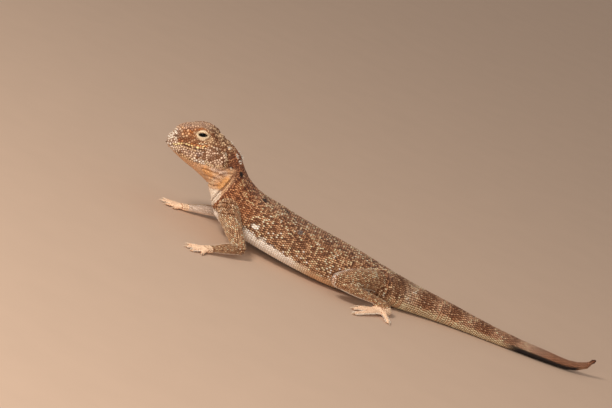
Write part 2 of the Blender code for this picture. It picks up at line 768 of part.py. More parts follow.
def spine_cluster(tree, middle, dice):
    """Small sheaf of spines that leans back from its place on the skin."""
    place, normal = nearest_surface(tree, middle)
    across = normal.cross(Vector((1.0, 0.0, 0.0))).normalized()
    along = across.cross(normal).normalized()
    pieces = []
    for k in range(CLUSTER_SPINES):
        angle = 2.0 * math.pi * (k + dice.uniform(-0.2, 0.2)) / (CLUSTER_SPINES - 1)
        spread = 0.0 if k == CLUSTER_SPINES - 1 else CLUSTER_SPREAD
        offset = spread * (math.cos(angle) * across + math.sin(angle) * along)
        foot, skin = nearest_surface(tree, place + offset)
        lean = (skin + CLUSTER_LEAN + 0.35 * offset).normalized()
        length = CLUSTER_SPINE_LENGTH * dice.uniform(0.8, 1.15)
        root = foot - CLUSTER_SINK * skin
        pieces.append(cone("cluster_spine", root, foot + length * lean, CLUSTER_SPINE_RADIUS, sides=4))
    return pieces


def mirrored_middles(middles):
    """Cluster middles on both sides of the head or neck."""
    return [(x, sign * y, z) for x, y, z in middles for sign in (1.0, -1.0)]


def make_head(dice):
    """Head with brows, lids, nostrils, lips, the line of the mouth and the cheek flaps."""
    places = even_places(0.0, SNOUT_LENGTH, SNOUT_RING_STEP)
    places += even_places(SNOUT_LENGTH, HEAD_END - 0.5 * GAP, HEAD_RING_STEP)[1:]
    head = make_object("head", *loft([ring_points(BODY_TRACK, p, BODY_SIDES) for p in places]))
    tree = surface_tree(head)
    neck = neck_blank()
    neck_clearance = inflated_copy(neck)
    bpy.data.objects.remove(neck, do_unlink=True)
    groove = mouth_tube("groove", tree, MOUTH_GROOVE_RADIUS)
    pits = []
    for sign in (1.0, -1.0):
        aim = head_point(NOSTRIL_FORWARD, sign * NOSTRIL_SIDE, NOSTRIL_UP)
        place, _ = nearest_surface(tree, aim)
        axes = [NOSTRIL_RADIUS * Vector(axis) for axis in ((1, 0, 0), (0, 1, 0), (0, 0, 1))]
        pits.append(round_ball("nostril", place, axes, NOSTRIL_SEGMENTS, NOSTRIL_RINGS))
    added = [mouth_tube("lip", tree, LIP_RADIUS, rise, LIP_SINK) for rise in (LIP_RISE, -LIP_RISE)]
    for sign in (1.0, -1.0):
        added += [eye_ball("lid", sign, EYE_RADIUS + GAP + LID_THICKNESS), brow(sign)]
        added += cheek_flap(sign)
    for middle in mirrored_middles(HEAD_CLUSTERS):
        added += spine_cluster(tree, middle, dice)
    boolean(head, "UNION", added, solver="EXACT")
    cuts = [eye_ball("socket", sign, EYE_RADIUS + GAP) for sign in (1.0, -1.0)]
    cuts += [eye_slit(sign) for sign in (1.0, -1.0)]
    boolean(head, "DIFFERENCE", [*cuts, *pits, groove], solver="EXACT")
    boolean(head, "DIFFERENCE", [neck_clearance])
    dress(head, SANDY_SKIN)
    return head


def neck_blank():
    """Neck before its spines are set."""
    return body_length(
        "neck", BODY_TRACK, HEAD_END + 0.5 * GAP, NECK_END - 0.5 * GAP, HEAD_RING_STEP, BODY_SIDES)


def make_neck(dice):
    """Neck from the back of the head to the fold in front of the shoulders."""
    neck = neck_blank()
    tree = surface_tree(neck)
    added = []
    for middle in mirrored_middles(NECK_CLUSTERS):
        added += spine_cluster(tree, middle, dice)
    boolean(neck, "UNION", added)
    dress(neck, SANDY_SKIN)
    return neck


def make_torso():
    """Trunk from the fold in front of the shoulders to the vent."""
    torso = body_length(
        "torso", BODY_TRACK, NECK_END + 0.5 * GAP, TORSO_END - 0.5 * GAP, TRUNK_RING_STEP, BODY_SIDES)
    dress(torso, SANDY_SKIN)
    return torso


def make_tail():
    """Tail in three lengths, with the black end curled up off the floor."""
    tip_end = BODY_TRACK.places[-1] + 0.5 * GAP
    marks = (TORSO_END, body_place(TAIL_BASE_END), body_place(TAIL_MIDDLE_END), tip_end)
    lengths = []
    for name, start, end in zip(("tail_base", "tail_middle", "tail_tip"), marks, marks[1:]):
        length = body_length(
            name, BODY_TRACK, start + 0.5 * GAP, end - 0.5 * GAP, TAIL_RING_STEP, TAIL_SIDES)
        dress(length, TAIL_SKIN)
        lengths.append(length)
    return lengths


def make_limb(names, upper_knots, lower_knots, trunk):
    """Upper and lower length of one limb, cut clear of the trunk and of each other."""
    upper = limb_tube(names[0], upper_knots)
    upper_clearance = limb_tube("clearance", upper_knots, grow=GAP)
    boolean(upper, "DIFFERENCE", [inflated_copy(part) for part in trunk])
    lower = limb_tube(names[1], lower_knots)
    boolean(lower, "DIFFERENCE", [upper_clearance, *(inflated_copy(part) for part in trunk)])
    for part in (upper, lower):
        dress(part, LIMB_SKIN)
    return upper, lower


def turned(degrees, outward_sign):
    """Level direction turned from straight ahead towards the outer side of a limb."""
    angle = math.radians(degrees)
    return Vector((-math.cos(angle), outward_sign * math.sin(angle), 0.0))


def digit_pieces(root, direction, digit, radius, claw_length, dice):
    """Jointed digit with its claw and, on the long toes, a fringe of scales on both edges."""
    reach = digit.length - claw_length
    knots = []
    for share, height, size in DIGIT_SHAPE:
        place = root + share * reach * direction
        wide = size * radius
        knots.append(Knot(place.x, place.y, height * radius, wide, DIGIT_FLATNESS * wide))
    pieces = [limb_tube("digit", knots, rings=DIGIT_RINGS, sides=DIGIT_SIDES, ends=(False, True))]
    end = root + reach * direction
    claw_root = Vector((end.x, end.y, CLAW_HEIGHT * radius)) - CLAW_SINK * direction
    bend = claw_root + (CLAW_SINK + CLAW_BEND * claw_length) * direction
    bend.z += CLAW_ARCH
    tip = Vector((end.x, end.y, CLAW_TIP_HEIGHT)) + claw_length * direction
    pieces.append(cone("claw", claw_root, tip, CLAW_RADIUS, bend=bend))
    if digit.fringed:
        pieces += fringe_pieces(direction, knots, reach, dice)
    return pieces


def fringe_pieces(direction, knots, reach, dice):
    """Row of flat pointed scales along both edges of a digit."""
    track = Track(knots, knot_centre)
    across = Vector((-direction.y, direction.x, 0.0))
    pieces = []
    count = int(FRINGE_SPAN * reach / FRINGE_STEP)
    for k in range(count):
        share = FRINGE_START + FRINGE_SPAN * (k + 0.5) / count
        knot = track.at(share * track.places[-1])
        for sign in (1.0, -1.0):
            edge = knot_centre(knot) + sign * knot.wide * across
            inner = edge - FRINGE_SINK * sign * across
            lean = dice.uniform(0.3, 0.6)
            length = FRINGE_LENGTH * dice.uniform(0.85, 1.15)
            tip = edge + length * (sign * across + lean * direction).normalized()
            inner.z = max(FRINGE_LOWEST, dice.uniform(0.72, 0.82) * knot.z)
            tip.z = inner.z + dice.uniform(-0.1, 0.05)
            pieces.append(cone("fringe", inner, tip, 0.5 * FRINGE_WIDTH, sides=3))
    return pieces


def make_hand(name, wrist, heading, outward_sign, arm, dice):
    """Hand from the wrist to the claws, flat on the floor."""
    forward = turned(heading, outward_sign)
    wrist_place = knot_centre(wrist)
    palm_knots = [wrist]
    for reach, height, wide, high in PALM_PLACES:
        place = wrist_place + reach * forward
        palm_knots.append(Knot(place.x, place.y, height, wide, high))
    hand = limb_tube(name, palm_knots, rings=PALM_RINGS)
    pieces = []
    for digit in HAND_DIGITS:
        direction = turned(heading + digit.turn, outward_sign)
        root = wrist_place + PALM_MIDDLE * forward + HAND_SPREAD * direction
        pieces += digit_pieces(root, direction, digit, HAND_DIGIT_RADIUS, HAND_CLAW_LENGTH, dice)
    boolean(hand, "UNION", pieces)
    boolean(hand, "DIFFERENCE", [floor_block(), *(inflated_copy(part) for part in arm)])
    dress(hand, LIMB_SKIN)
    return hand


def make_foot(name, ankle, outward_sign, leg, dice):
    """Foot from the ankle to the claws, flat on the floor, its long toes fringed."""
    ankle_place = knot_centre(ankle)
    places = []
    knots = []
    for (ahead, outward, rise), wide, high in (HEEL, SOLE, BALL):
        place = ankle_place + Vector((ahead, outward * outward_sign, rise))
        places.append(place)
        knots.append(Knot(*place, wide, high))
    heel, sole, _ = places
    foot = limb_tube(name, knots, rings=PALM_RINGS)
    ankle_knots = (ankle, Knot(*heel.lerp(ankle_place, ANKLE_SHARE), ANKLE_RADIUS, HEEL[2]))
    pieces = [limb_tube("ankle", ankle_knots, rings=ANKLE_RINGS)]
    for digit in FOOT_DIGITS:
        direction = turned(digit.turn, outward_sign)
        root = sole + FOOT_SPREAD * direction
        pieces += digit_pieces(root, direction, digit, FOOT_DIGIT_RADIUS, FOOT_CLAW_LENGTH, dice)
    boolean(foot, "UNION", pieces)
    boolean(foot, "DIFFERENCE", [floor_block(), *(inflated_copy(part) for part in leg)])
    dress(foot, LIMB_SKIN)
    return foot


def stand_on_origin(parts):
    """Move all meshes so that the middle of the whole box's underside is the origin."""
    corners = [vertex.co for part in parts for vertex in part.data.vertices]
    middle = Vector((
        0.5 * (min(c.x for c in corners) + max(c.x for c in corners)),
        0.5 * (min(c.y for c in corners) + max(c.y for c in corners)),
        min(c.z for c in corners),
    ))
    for part in parts:
        for vertex in part.data.vertices:
            vertex.co -= middle
        part.data.update()


def main():
    """Build every node of the lizard."""
    clear_scene()
    dice = random.Random(SEED)
    head = make_head(dice)
    neck = make_neck(dice)
    torso = make_torso()
    tail = make_tail()
    parts = [head, neck, torso, *tail]
    parts += [make_eye("left_eye", -1.0), make_eye("right_eye", 1.0)]
    arms = (
        ("left", -1.0, LEFT_UPPER_ARM, LEFT_FOREARM, LEFT_HAND_TURN),
        ("right", 1.0, RIGHT_UPPER_ARM, RIGHT_FOREARM, RIGHT_HAND_TURN),
    )
    for side, outward_sign, upper, lower, heading in arms:
        names = (side + "_upper_arm", side + "_forearm")
        arm = make_limb(names, upper, lower, (torso, neck))
        parts += [*arm, make_hand(side + "_hand", lower[-1], heading, outward_sign, arm, dice)]
    legs = (("left", -1.0, LEFT_THIGH, LEFT_SHANK), ("right", 1.0, RIGHT_THIGH, RIGHT_SHANK))
    for side, outward_sign, upper, lower in legs:
        names = (side + "_thigh", side + "_shank")
        leg = make_limb(names, upper, lower, (torso, tail[0]))
        parts += [*leg, make_foot(side + "_foot", lower[-1], outward_sign, (*leg, tail[0]), dice)]
    stand_on_origin(parts)


if __name__ == "__main__":
    main()
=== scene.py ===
"""Looks of the secret toad-headed agama: one scaled skin, eyes, claws, spines and a soft studio.

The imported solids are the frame. One skin is grown from copies of the flesh nodes and sculpted with
lids, lips, nostrils and folds. Rows of keeled scales and beds of granules, all solid mesh, stand on
it. Lengths in this file are millimetres, and they become metres when a mesh is made.
"""

from __future__ import annotations

import json
import logging
import math
from collections.abc import Callable, Iterable, Sequence
from dataclasses import dataclass, field
from enum import Enum

import bmesh
import bpy
import numpy as np
from mathutils import Matrix, Vector, noise
from mathutils.bvhtree import BVHTree
from mathutils.kdtree import KDTree

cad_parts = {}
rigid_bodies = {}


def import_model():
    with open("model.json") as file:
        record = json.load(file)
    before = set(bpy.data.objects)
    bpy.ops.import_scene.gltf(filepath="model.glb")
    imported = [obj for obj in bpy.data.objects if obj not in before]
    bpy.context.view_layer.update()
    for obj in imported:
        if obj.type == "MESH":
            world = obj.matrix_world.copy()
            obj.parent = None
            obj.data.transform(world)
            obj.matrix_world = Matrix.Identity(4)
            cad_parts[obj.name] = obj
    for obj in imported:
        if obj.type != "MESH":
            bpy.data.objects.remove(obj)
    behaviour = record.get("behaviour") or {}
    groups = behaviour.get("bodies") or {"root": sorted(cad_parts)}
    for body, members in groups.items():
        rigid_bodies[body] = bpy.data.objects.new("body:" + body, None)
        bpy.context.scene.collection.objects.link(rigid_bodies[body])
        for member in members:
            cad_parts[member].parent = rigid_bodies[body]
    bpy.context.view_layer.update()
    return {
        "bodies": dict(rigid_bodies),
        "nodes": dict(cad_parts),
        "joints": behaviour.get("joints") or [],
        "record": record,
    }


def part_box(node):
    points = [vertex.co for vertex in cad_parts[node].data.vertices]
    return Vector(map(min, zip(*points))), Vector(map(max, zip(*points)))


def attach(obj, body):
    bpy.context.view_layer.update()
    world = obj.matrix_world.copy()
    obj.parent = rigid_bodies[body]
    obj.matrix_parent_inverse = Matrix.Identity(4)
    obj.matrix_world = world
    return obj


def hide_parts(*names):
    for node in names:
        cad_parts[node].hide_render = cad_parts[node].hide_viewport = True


LOG = logging.getLogger("agama")

MM = 0.001
BODY = "root"
MIDDLE_Y = 0.52
FLAP_FORWARD = -3.8
FLAP_TILT = math.radians(15.0)
TRUNK_SPLIT = -32.0

Points = np.ndarray
Dice = np.random.Generator
Piece = bpy.types.Object
Triple = tuple[float, float, float]
Triples = tuple[Triple, ...]
Faces = list[tuple[int, ...]]


class Tone(Enum):
    """Colours of the animal, as linear red, green and blue."""

    CREAM = (0.74, 0.52, 0.32)
    LID = (0.84, 0.66, 0.44)
    WHITE = (0.92, 0.80, 0.66)
    SAND = (0.46, 0.245, 0.122)
    TAN = (0.31, 0.142, 0.067)
    SEPIA = (0.185, 0.076, 0.032)
    UMBER = (0.070, 0.025, 0.011)
    BLACK = (0.014, 0.010, 0.009)
    ORANGE = (0.70, 0.34, 0.11)
    RUST = (0.36, 0.12, 0.04)
    PINK = (0.62, 0.38, 0.26)
    ROSE = (0.74, 0.53, 0.40)
    BUTTER = (0.95, 0.70, 0.32)
    BRICK = (0.21, 0.070, 0.027)
    EMBER = (0.45, 0.15, 0.035)
    SLATE = (0.150, 0.112, 0.096)
    MAUVE = (0.36, 0.27, 0.25)

    @property
    def rgb(self) -> Points:
        """Tone as an array."""
        return np.array(self.value)


def unit(vectors: Points) -> Points:
    """Rows scaled to length one."""
    return vectors / np.maximum(np.linalg.norm(vectors, axis=-1, keepdims=True), 1e-9)


def ease(low: float, high: float, values: Points) -> Points:
    """Smooth rise from 0 at low to 1 at high."""
    share = np.clip((values - low) / (high - low), 0.0, 1.0)
    return share * share * (3.0 - 2.0 * share)


def bell(values: Points, width: float) -> Points:
    """Bell curve of a given width about zero."""
    return np.exp(-((values / width) ** 2))


def blend(first: Points, second: Points, share: Points) -> Points:
    """Rows of two colour arrays mixed by a share for each row."""
    return first + (second - first) * np.asarray(share)[..., None]


def ripple(points: Points, wave: float, seed: float = 0.0) -> Points:
    """Smooth noise between about -1 and 1 at each point, with features of a given size.

    Args:
        points: Places, one row each.
        wave: Size of the features.
        seed: Shift that makes one field differ from another.

    Returns:
        One value for each point.
    """
    offset = Vector((seed, 1.7 * seed, -seed))
    return np.array([noise.noise(Vector(row) / wave + offset) for row in points.tolist()])


def read_off(table: Sequence[tuple[float, float]], values: Points) -> Points:
    """Heights of a table's line at each value."""
    return np.interp(values, *np.array(table).T)


def into_scene(name: str, data: bpy.types.ID) -> Piece:
    """Object with some data, linked to the scene."""
    made = bpy.data.objects.new(name, data)
    bpy.context.scene.collection.objects.link(made)
    return made


def make_mesh(name: str, points: Points, faces: Sequence[Sequence[int]]) -> Piece:
    """Object with a smooth-shaded mesh in the scene.

    Args:
        name: Name of the piece.
        points: Places in millimetres.
        faces: Corner indices of each face.

    Returns:
        The new object.
    """
    mesh = bpy.data.meshes.new(name)
    mesh.from_pydata((points * MM).tolist(), [], faces)
    mesh.update()
    mesh.shade_smooth()
    return into_scene(name, mesh)


def paint(piece: Piece, colours: Points) -> None:
    """Store one colour for each vertex as the attribute that the finishes read."""
    layer = piece.data.color_attributes.new("tint", "FLOAT_COLOR", "POINT")
    rgba = np.ones((len(colours), 4), np.float32)
    rgba[:, :3] = np.clip(colours, 0.0, 1.0)
    layer.data.foreach_set("color", rgba.ravel())


def grown_tree(points: Points) -> KDTree:
    """Search tree over rows of places."""
    tree = KDTree(len(points))
    for number, row in enumerate(points.tolist()):
        tree.insert(row, number)
    tree.balance()
    return tree


def lengths_of(vectors: Points) -> Points:
    """Length of each row."""
    return np.linalg.norm(vectors, axis=1)


def marks_along(path: Points) -> Points:
    """Distance along a path to each of its points."""
    return np.concatenate(([0.0], np.cumsum(lengths_of(np.diff(path, axis=0)))))


def sample(path: Points, marks: Points, spots: Points) -> Points:
    """Places at some spots of a path whose points stand at the given marks."""
    return np.stack([np.interp(spots, marks, path[:, k]) for k in range(3)], axis=1)


def gaps_to(targets: Points, places: Points) -> Points:
    """Distance from each place to the nearest target."""
    tree = grown_tree(targets)
    return np.array([tree.find(row)[2] for row in places.tolist()])


def along_skin(lies: Points, normals: Points) -> Points:
    """Directions turned flat onto the surface."""
    return unit(lies - (lies * normals).sum(1)[:, None] * normals)


def ring_walls(rings: int, sides: int, start: int = 0, mirrored: bool = False) -> Faces:
    """Faces between rings of points that follow one another.

    Args:
        rings: Number of rings.
        sides: Points of each ring.
        start: Number of the first point.
        mirrored: Whether the faces turn the other way round.

    Returns:
        Corner numbers of each face.
    """
    faces = []
    for low in range(start, start + (rings - 1) * sides, sides):
        for k in range(sides):
            after = (k + 1) % sides
            face = (low + k, low + after, low + sides + after, low + sides + k)
            faces.append(face[:1] + face[:0:-1] if mirrored else face)
    return faces


def paws_among(names: Points) -> Points:
    """Marks the names of hands and feet."""
    return np.char.endswith(names, "hand") | np.char.endswith(names, "foot")


def path_gaps(places: Points, path: Points, reach: float) -> tuple[Points, Points]:
    """Distance from each place to a dense path, and the nearest point of the path.

    Args:
        places: Places to measure from.
        path: Dense points along the path.
        reach: Distance beyond which nothing is measured.

    Returns:
        Distances, very large beyond the reach, and path points.
    """
    tree = grown_tree(path)
    inside = np.all((places > path.min(0) - reach) & (places < path.max(0) + reach), axis=1)
    distance = np.full(len(places), 99.0)
    nearest = np.zeros_like(places)
    for k in np.nonzero(inside)[0]:
        found, _, gap = tree.find(places[k].tolist())
        distance[k] = gap
        nearest[k] = found
    return distance, nearest


def level_normals(places: Points, normals: Points, count: int = 7, limit: float = 0.86) -> Points:
    """Turn the normals that stand apart from those around them to the mean of these.

    Args:
        places: Places on a surface.
        normals: Outward directions there.
        count: Number of neighbours looked at, with the place itself.
        limit: Cosine of the widest turn that is left alone.

    Returns:
        Outward directions.
    """
    tree = grown_tree(places)
    around = np.array([[found[1] for found in tree.find_n(row, count)] for row in places.tolist()])
    mean = unit(normals[around].mean(axis=1))
    apart = (mean * normals).sum(axis=1) < limit
    return np.where(apart[:, None], mean, normals)


def vertices_of(piece: Piece) -> Points:
    """Places of an object's vertices, in millimetres."""
    places = np.zeros(3 * len(piece.data.vertices), np.float32)
    piece.data.vertices.foreach_get("co", places)
    return places.reshape(-1, 3).astype(float) / MM


class Surface:
    """Search tree over one or more meshes, in millimetres."""

    def __init__(self, pieces: Iterable[Piece]) -> None:
        points: list[Vector] = []
        faces: list[tuple[int, ...]] = []
        self.owners: list[int] = []
        for number, piece in enumerate(pieces):
            start = len(points)
            points += [vertex.co / MM for vertex in piece.data.vertices]
            faces += [tuple(start + k for k in polygon.vertices) for polygon in piece.data.polygons]
            self.owners += [number] * len(piece.data.polygons)
        self.tree = BVHTree.FromPolygons(points, faces)

    def nearest(self, points: Points) -> tuple[Points, Points, Points, Points]:
        """Nearest places on the surface.

        Args:
            points: Places to look from.

        Returns:
            Places, outward normals, owner numbers and distances.
        """
        hits = [self.tree.find_nearest(row) for row in points.tolist()]
        places = np.array([hit[0] for hit in hits])
        normals = np.array([hit[1] for hit in hits])
        owners = np.array([self.owners[hit[2]] for hit in hits])
        return places, normals, owners, np.array([hit[3] for hit in hits])

    def ray(self, start: Sequence[float], direction: Sequence[float]) -> Points | None:
        """First place that a ray meets, or None."""
        hit = self.tree.ray_cast(Vector(start), Vector(direction))[0]
        return None if hit is None else np.array(hit)


@dataclass(frozen=True)
class HeadFrame:
    """Forward, side and up axes of the head, found from its eyes' place."""

    dip: float = math.radians(16.0)
    roll: float = math.radians(5.0)
    eye: Triple = (1.4, 6.8, 6.8)

    @property
    def axes(self) -> Points:
        """Rows are the forward, side and up directions."""
        level_up = np.array((-math.sin(self.dip), 0.0, math.cos(self.dip)))
        level_side = np.array((0.0, 1.0, 0.0))
        forward = np.array((-math.cos(self.dip), 0.0, -math.sin(self.dip)))
        side = math.cos(self.roll) * level_side - math.sin(self.roll) * level_up
        up = math.cos(self.roll) * level_up + math.sin(self.roll) * level_side
        return np.array((forward, side, up))

    @property
    def origin(self) -> Points:
        """Middle of the skull, worked out from the box of the right eye's node."""
        low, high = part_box("right_eye")
        return (np.array(low) + np.array(high)) * 0.5 / MM - np.array(self.eye) @ self.axes

    def world(self, places: Points) -> Points:
        """World places of rows in head coordinates."""
        return self.origin + np.asarray(places, float) @ self.axes

    def local(self, points: Points) -> Points:
        """Head coordinates of world places."""
        return (points - self.origin) @ self.axes.T


@dataclass(frozen=True)
class DigitPlan:
    """Turn from straight ahead, whole length with its claw, and whether it carries a fringe."""

    turn: float
    length: float
    fringed: bool


@dataclass
class Digit:
    """One finger or toe, lying level along its direction."""

    root: Points
    direction: Points
    reach: float
    radius: float
    fringed: bool
    shape: Triples = (
        (0.0, 1.15, 1.10), (0.20, 1.30, 0.92), (0.34, 1.22, 1.04), (0.48, 1.08, 0.86),
        (0.60, 1.0, 0.96), (0.74, 0.82, 0.74), (0.86, 0.78, 0.80), (1.0, 0.58, 0.60),
    )

    def at(self, share: float) -> tuple[Points, float]:
        """Centre and radius at a share of the digit's reach."""
        shares = [row[0] for row in self.shape]
        height = float(np.interp(share, shares, [row[1] for row in self.shape]))
        size = float(np.interp(share, shares, [row[2] for row in self.shape]))
        centre = self.root + share * self.reach * self.direction
        centre[2] = height * self.radius
        return centre, size * self.radius

    @property
    def end(self) -> Points:
        """Centre of the digit's last section."""
        return self.at(1.0)[0]


def tube(stations: Sequence[tuple[Points, float, float]], sides: int = 16) -> tuple[Points, Faces]:
    """Closed tube with rounded ends through sections.

    Args:
        stations: Centre, half width and half height of each section.
        sides: Corners of each ring.

    Returns:
        Points and faces.
    """
    centres = np.array([row[0] for row in stations])
    headings = unit(np.gradient(centres, axis=0))
    rows = [(centres[k], headings[k], stations[k][1], stations[k][2]) for k in range(len(stations))]
    caps = ((0.93, 0.36), (0.75, 0.66), (0.40, 0.92))
    ends = []
    for (centre, heading, wide, high), sign in ((rows[0], -1.0), (rows[-1], 1.0)):
        ends.append([
            (centre + sign * reach * min(wide, high) * heading, heading, size * wide, size * high)
            for reach, size in caps])
    angles = 2.0 * math.pi * np.arange(sides) / sides
    loops = []
    for centre, heading, wide, high in (*ends[0], *rows, *ends[1][::-1]):
        side = unit(np.cross((0.0, 0.0, 1.0), heading))
        up = np.cross(heading, side)
        loops.append(centre + wide * np.cos(angles)[:, None] * side + high * np.sin(angles)[:, None] * up)
    points = np.vstack(loops)
    faces = [tuple(range(sides))[::-1], *ring_walls(len(loops), sides)]
    faces.append(tuple(range(len(points) - sides, len(points))))
    return points, faces


@dataclass
class Paw:
    """Hand or foot: its sole and its digits, laid out as in the solids."""

    name: str
    tube_stations: list[list[tuple[Points, float, float]]]
    digits: list[Digit]
    claw_length: float
    claw_radius: float = 0.42
    plump: float = 0.30

    def tubes(self) -> list[tuple[Points, Faces]]:
        """Tubes of the palm or sole and of every digit."""
        made = [
            tube([(place, wide + self.plump, high + self.plump) for place, wide, high in stations])
            for stations in self.tube_stations]
        for digit in self.digits:
            stations = []
            for share in np.linspace(0.0, 1.0, 15):
                centre, radius = digit.at(float(share))
                stations.append((centre, radius + self.plump, 0.92 * radius + self.plump))
            made.append(tube(stations, 12))
        return made


@dataclass(frozen=True)
class PawPlans:
    """Plans of the hands and feet, in the solids' own numbers before they stand on the origin."""

    hand_digits: tuple[DigitPlan, ...] = (
        DigitPlan(-46.0, 5.4, False), DigitPlan(-22.0, 7.6, False), DigitPlan(0.0, 8.8, True),
        DigitPlan(21.0, 8.6, True), DigitPlan(50.0, 6.2, False),
    )
    foot_digits: tuple[DigitPlan, ...] = (
        DigitPlan(12.0, 8.0, False), DigitPlan(27.0, 11.4, False), DigitPlan(41.0, 15.4, True),
        DigitPlan(57.0, 19.4, True), DigitPlan(112.0, 9.6, True),
    )
    hand_radius: float = 0.8
    foot_radius: float = 0.95
    hand_claw: float = 1.6
    foot_claw: float = 2.1
    left_wrist: Triple = (-42.6, -32.0, 1.9)
    right_wrist: Triple = (-57.6, 7.4, 1.9)
    left_ankle: Triple = (23.6, -11.4, 3.2)
    right_ankle: Triple = (23.6, 20.6, 3.2)
    left_hand_turn: float = 33.0
    right_hand_turn: float = -6.0
    eye_place: Triple = (-60.0, 0.0, 26.0)

    def heading(self, degrees: float, outward: float) -> Points:
        """Level direction turned from straight ahead towards the outer side."""
        angle = math.radians(degrees)
        return np.array((-math.cos(angle), outward * math.sin(angle), 0.0))

    def hand(self, name: str, wrist: Points, turn: float, outward: float) -> Paw:
        """Hand on its wrist, turned outwards by some degrees."""
        forward = self.heading(turn, outward)
        palm = [(wrist, 1.6, 1.4)]
        for reach, height, wide, high in ((2.2, 1.35, 2.1, 1.3), (4.2, 1.1, 2.2, 1.05)):
            place = wrist + reach * forward
            palm.append((np.array((place[0], place[1], height)), wide, high))
        digits = []
        for plan in self.hand_digits:
            direction = self.heading(turn + plan.turn, outward)
            root = wrist + 2.6 * forward + direction
            reach = plan.length - self.hand_claw
            digits.append(Digit(root, direction, reach, self.hand_radius, plan.fringed))
        return Paw(name, [palm], digits, self.hand_claw)

    def foot(self, name: str, ankle: Points, outward: float) -> Paw:
        """Foot under its ankle."""
        heel = ankle + np.array((1.3, 0.8 * outward, -1.75))
        sole = ankle + np.array((-0.4, 2.6 * outward, -1.95))
        ball = ankle + np.array((-3.2, 4.4 * outward, -2.1))
        sections = [(heel, 1.6, 1.45), (sole, 2.2, 1.3), (ball, 2.3, 1.1)]
        ankle_sections = [(ankle, 1.5, 1.5), (heel + 0.2 * (ankle - heel), 1.5, 1.45)]
        digits = []
        for plan in self.foot_digits:
            direction = self.heading(plan.turn, outward)
            root = sole + 0.8 * direction
            reach = plan.length - self.foot_claw
            digits.append(Digit(root, direction, reach, self.foot_radius, plan.fringed))
        return Paw(name, [sections, ankle_sections], digits, self.foot_claw)

    def build(self, head: HeadFrame) -> list[Paw]:
        """Both hands and both feet, moved to where the frame stands."""
        shift = head.origin - np.array(self.eye_place)
        return [
            self.hand("left_hand", np.array(self.left_wrist) + shift, self.left_hand_turn, -1.0),
            self.hand("right_hand", np.array(self.right_wrist) + shift, self.right_hand_turn, 1.0),
            self.foot("left_foot", np.array(self.left_ankle) + shift, -1.0),
            self.foot("right_foot", np.array(self.right_ankle) + shift, 1.0),
        ]


class BodyLine:
    """Centre line of the trunk and tail, measured on the frame's solids."""

    def __init__(self, solids: Surface, low: float, high: float, step: float = 2.0) -> None:
        centre = np.array((low, 0.0, 10.0))
        rows = []
        for x in np.arange(low, high, step):
            centre[0] = x
            for _ in range(3):
                left = solids.ray(centre, (0.0, -1.0, 0.0))
                right = solids.ray(centre, (0.0, 1.0, 0.0))
                if left is not None and right is not None:
                    centre[1] = 0.5 * (left[1] + right[1])
                floor = solids.ray(centre, (0.0, 0.0, -1.0))
                top = solids.ray(centre, (0.0, 0.0, 1.0))
                if floor is not None and top is not None:
                    centre[2] = 0.5 * (floor[2] + top[2])
            if left is None or right is None or floor is None or top is None:
                continue
            rows.append((x, centre[1], centre[2], 0.5 * (right[1] - left[1]), 0.5 * (top[2] - floor[2])))
        self.table = np.array(rows)

    def at(self, x: Points) -> tuple[Points, Points, Points, Points]:
        """Side offset, height, half width and half height of the body at distances along X."""
        columns = (np.interp(x, self.table[:, 0], self.table[:, k]) for k in range(1, 5))
        return tuple(columns)


@dataclass(frozen=True)
class Spot:
    """Rounded mark on the skin."""

    place: Triple
    reach: Triple
    tone: Tone
    strength: float = 1.0


@dataclass(frozen=True)
class Streak:
    """Soft-edged streak of colour along a path in head coordinates, alike on both sides."""

    path: Triples
    width: float
    tone: Tone
    strength: float

    def share(self, local: Points, unevenness: Points) -> Points:
        """Share of the streak's colour at rows of head coordinates."""
        stops = np.array(self.path, float)
        if len(stops) == 1:
            stops = np.vstack([stops, stops + 1e-3])
        distance = np.full(len(local), 1e3)
        for start, end in zip(stops[:-1], stops[1:]):
            line = end - start
            along = np.clip((local - start) @ line / (line @ line), 0.0, 1.0)
            distance = np.minimum(distance, lengths_of(local - start - along[:, None] * line))
        return self.strength * ease(1.35, 0.60, distance / self.width + 0.25 * unevenness)


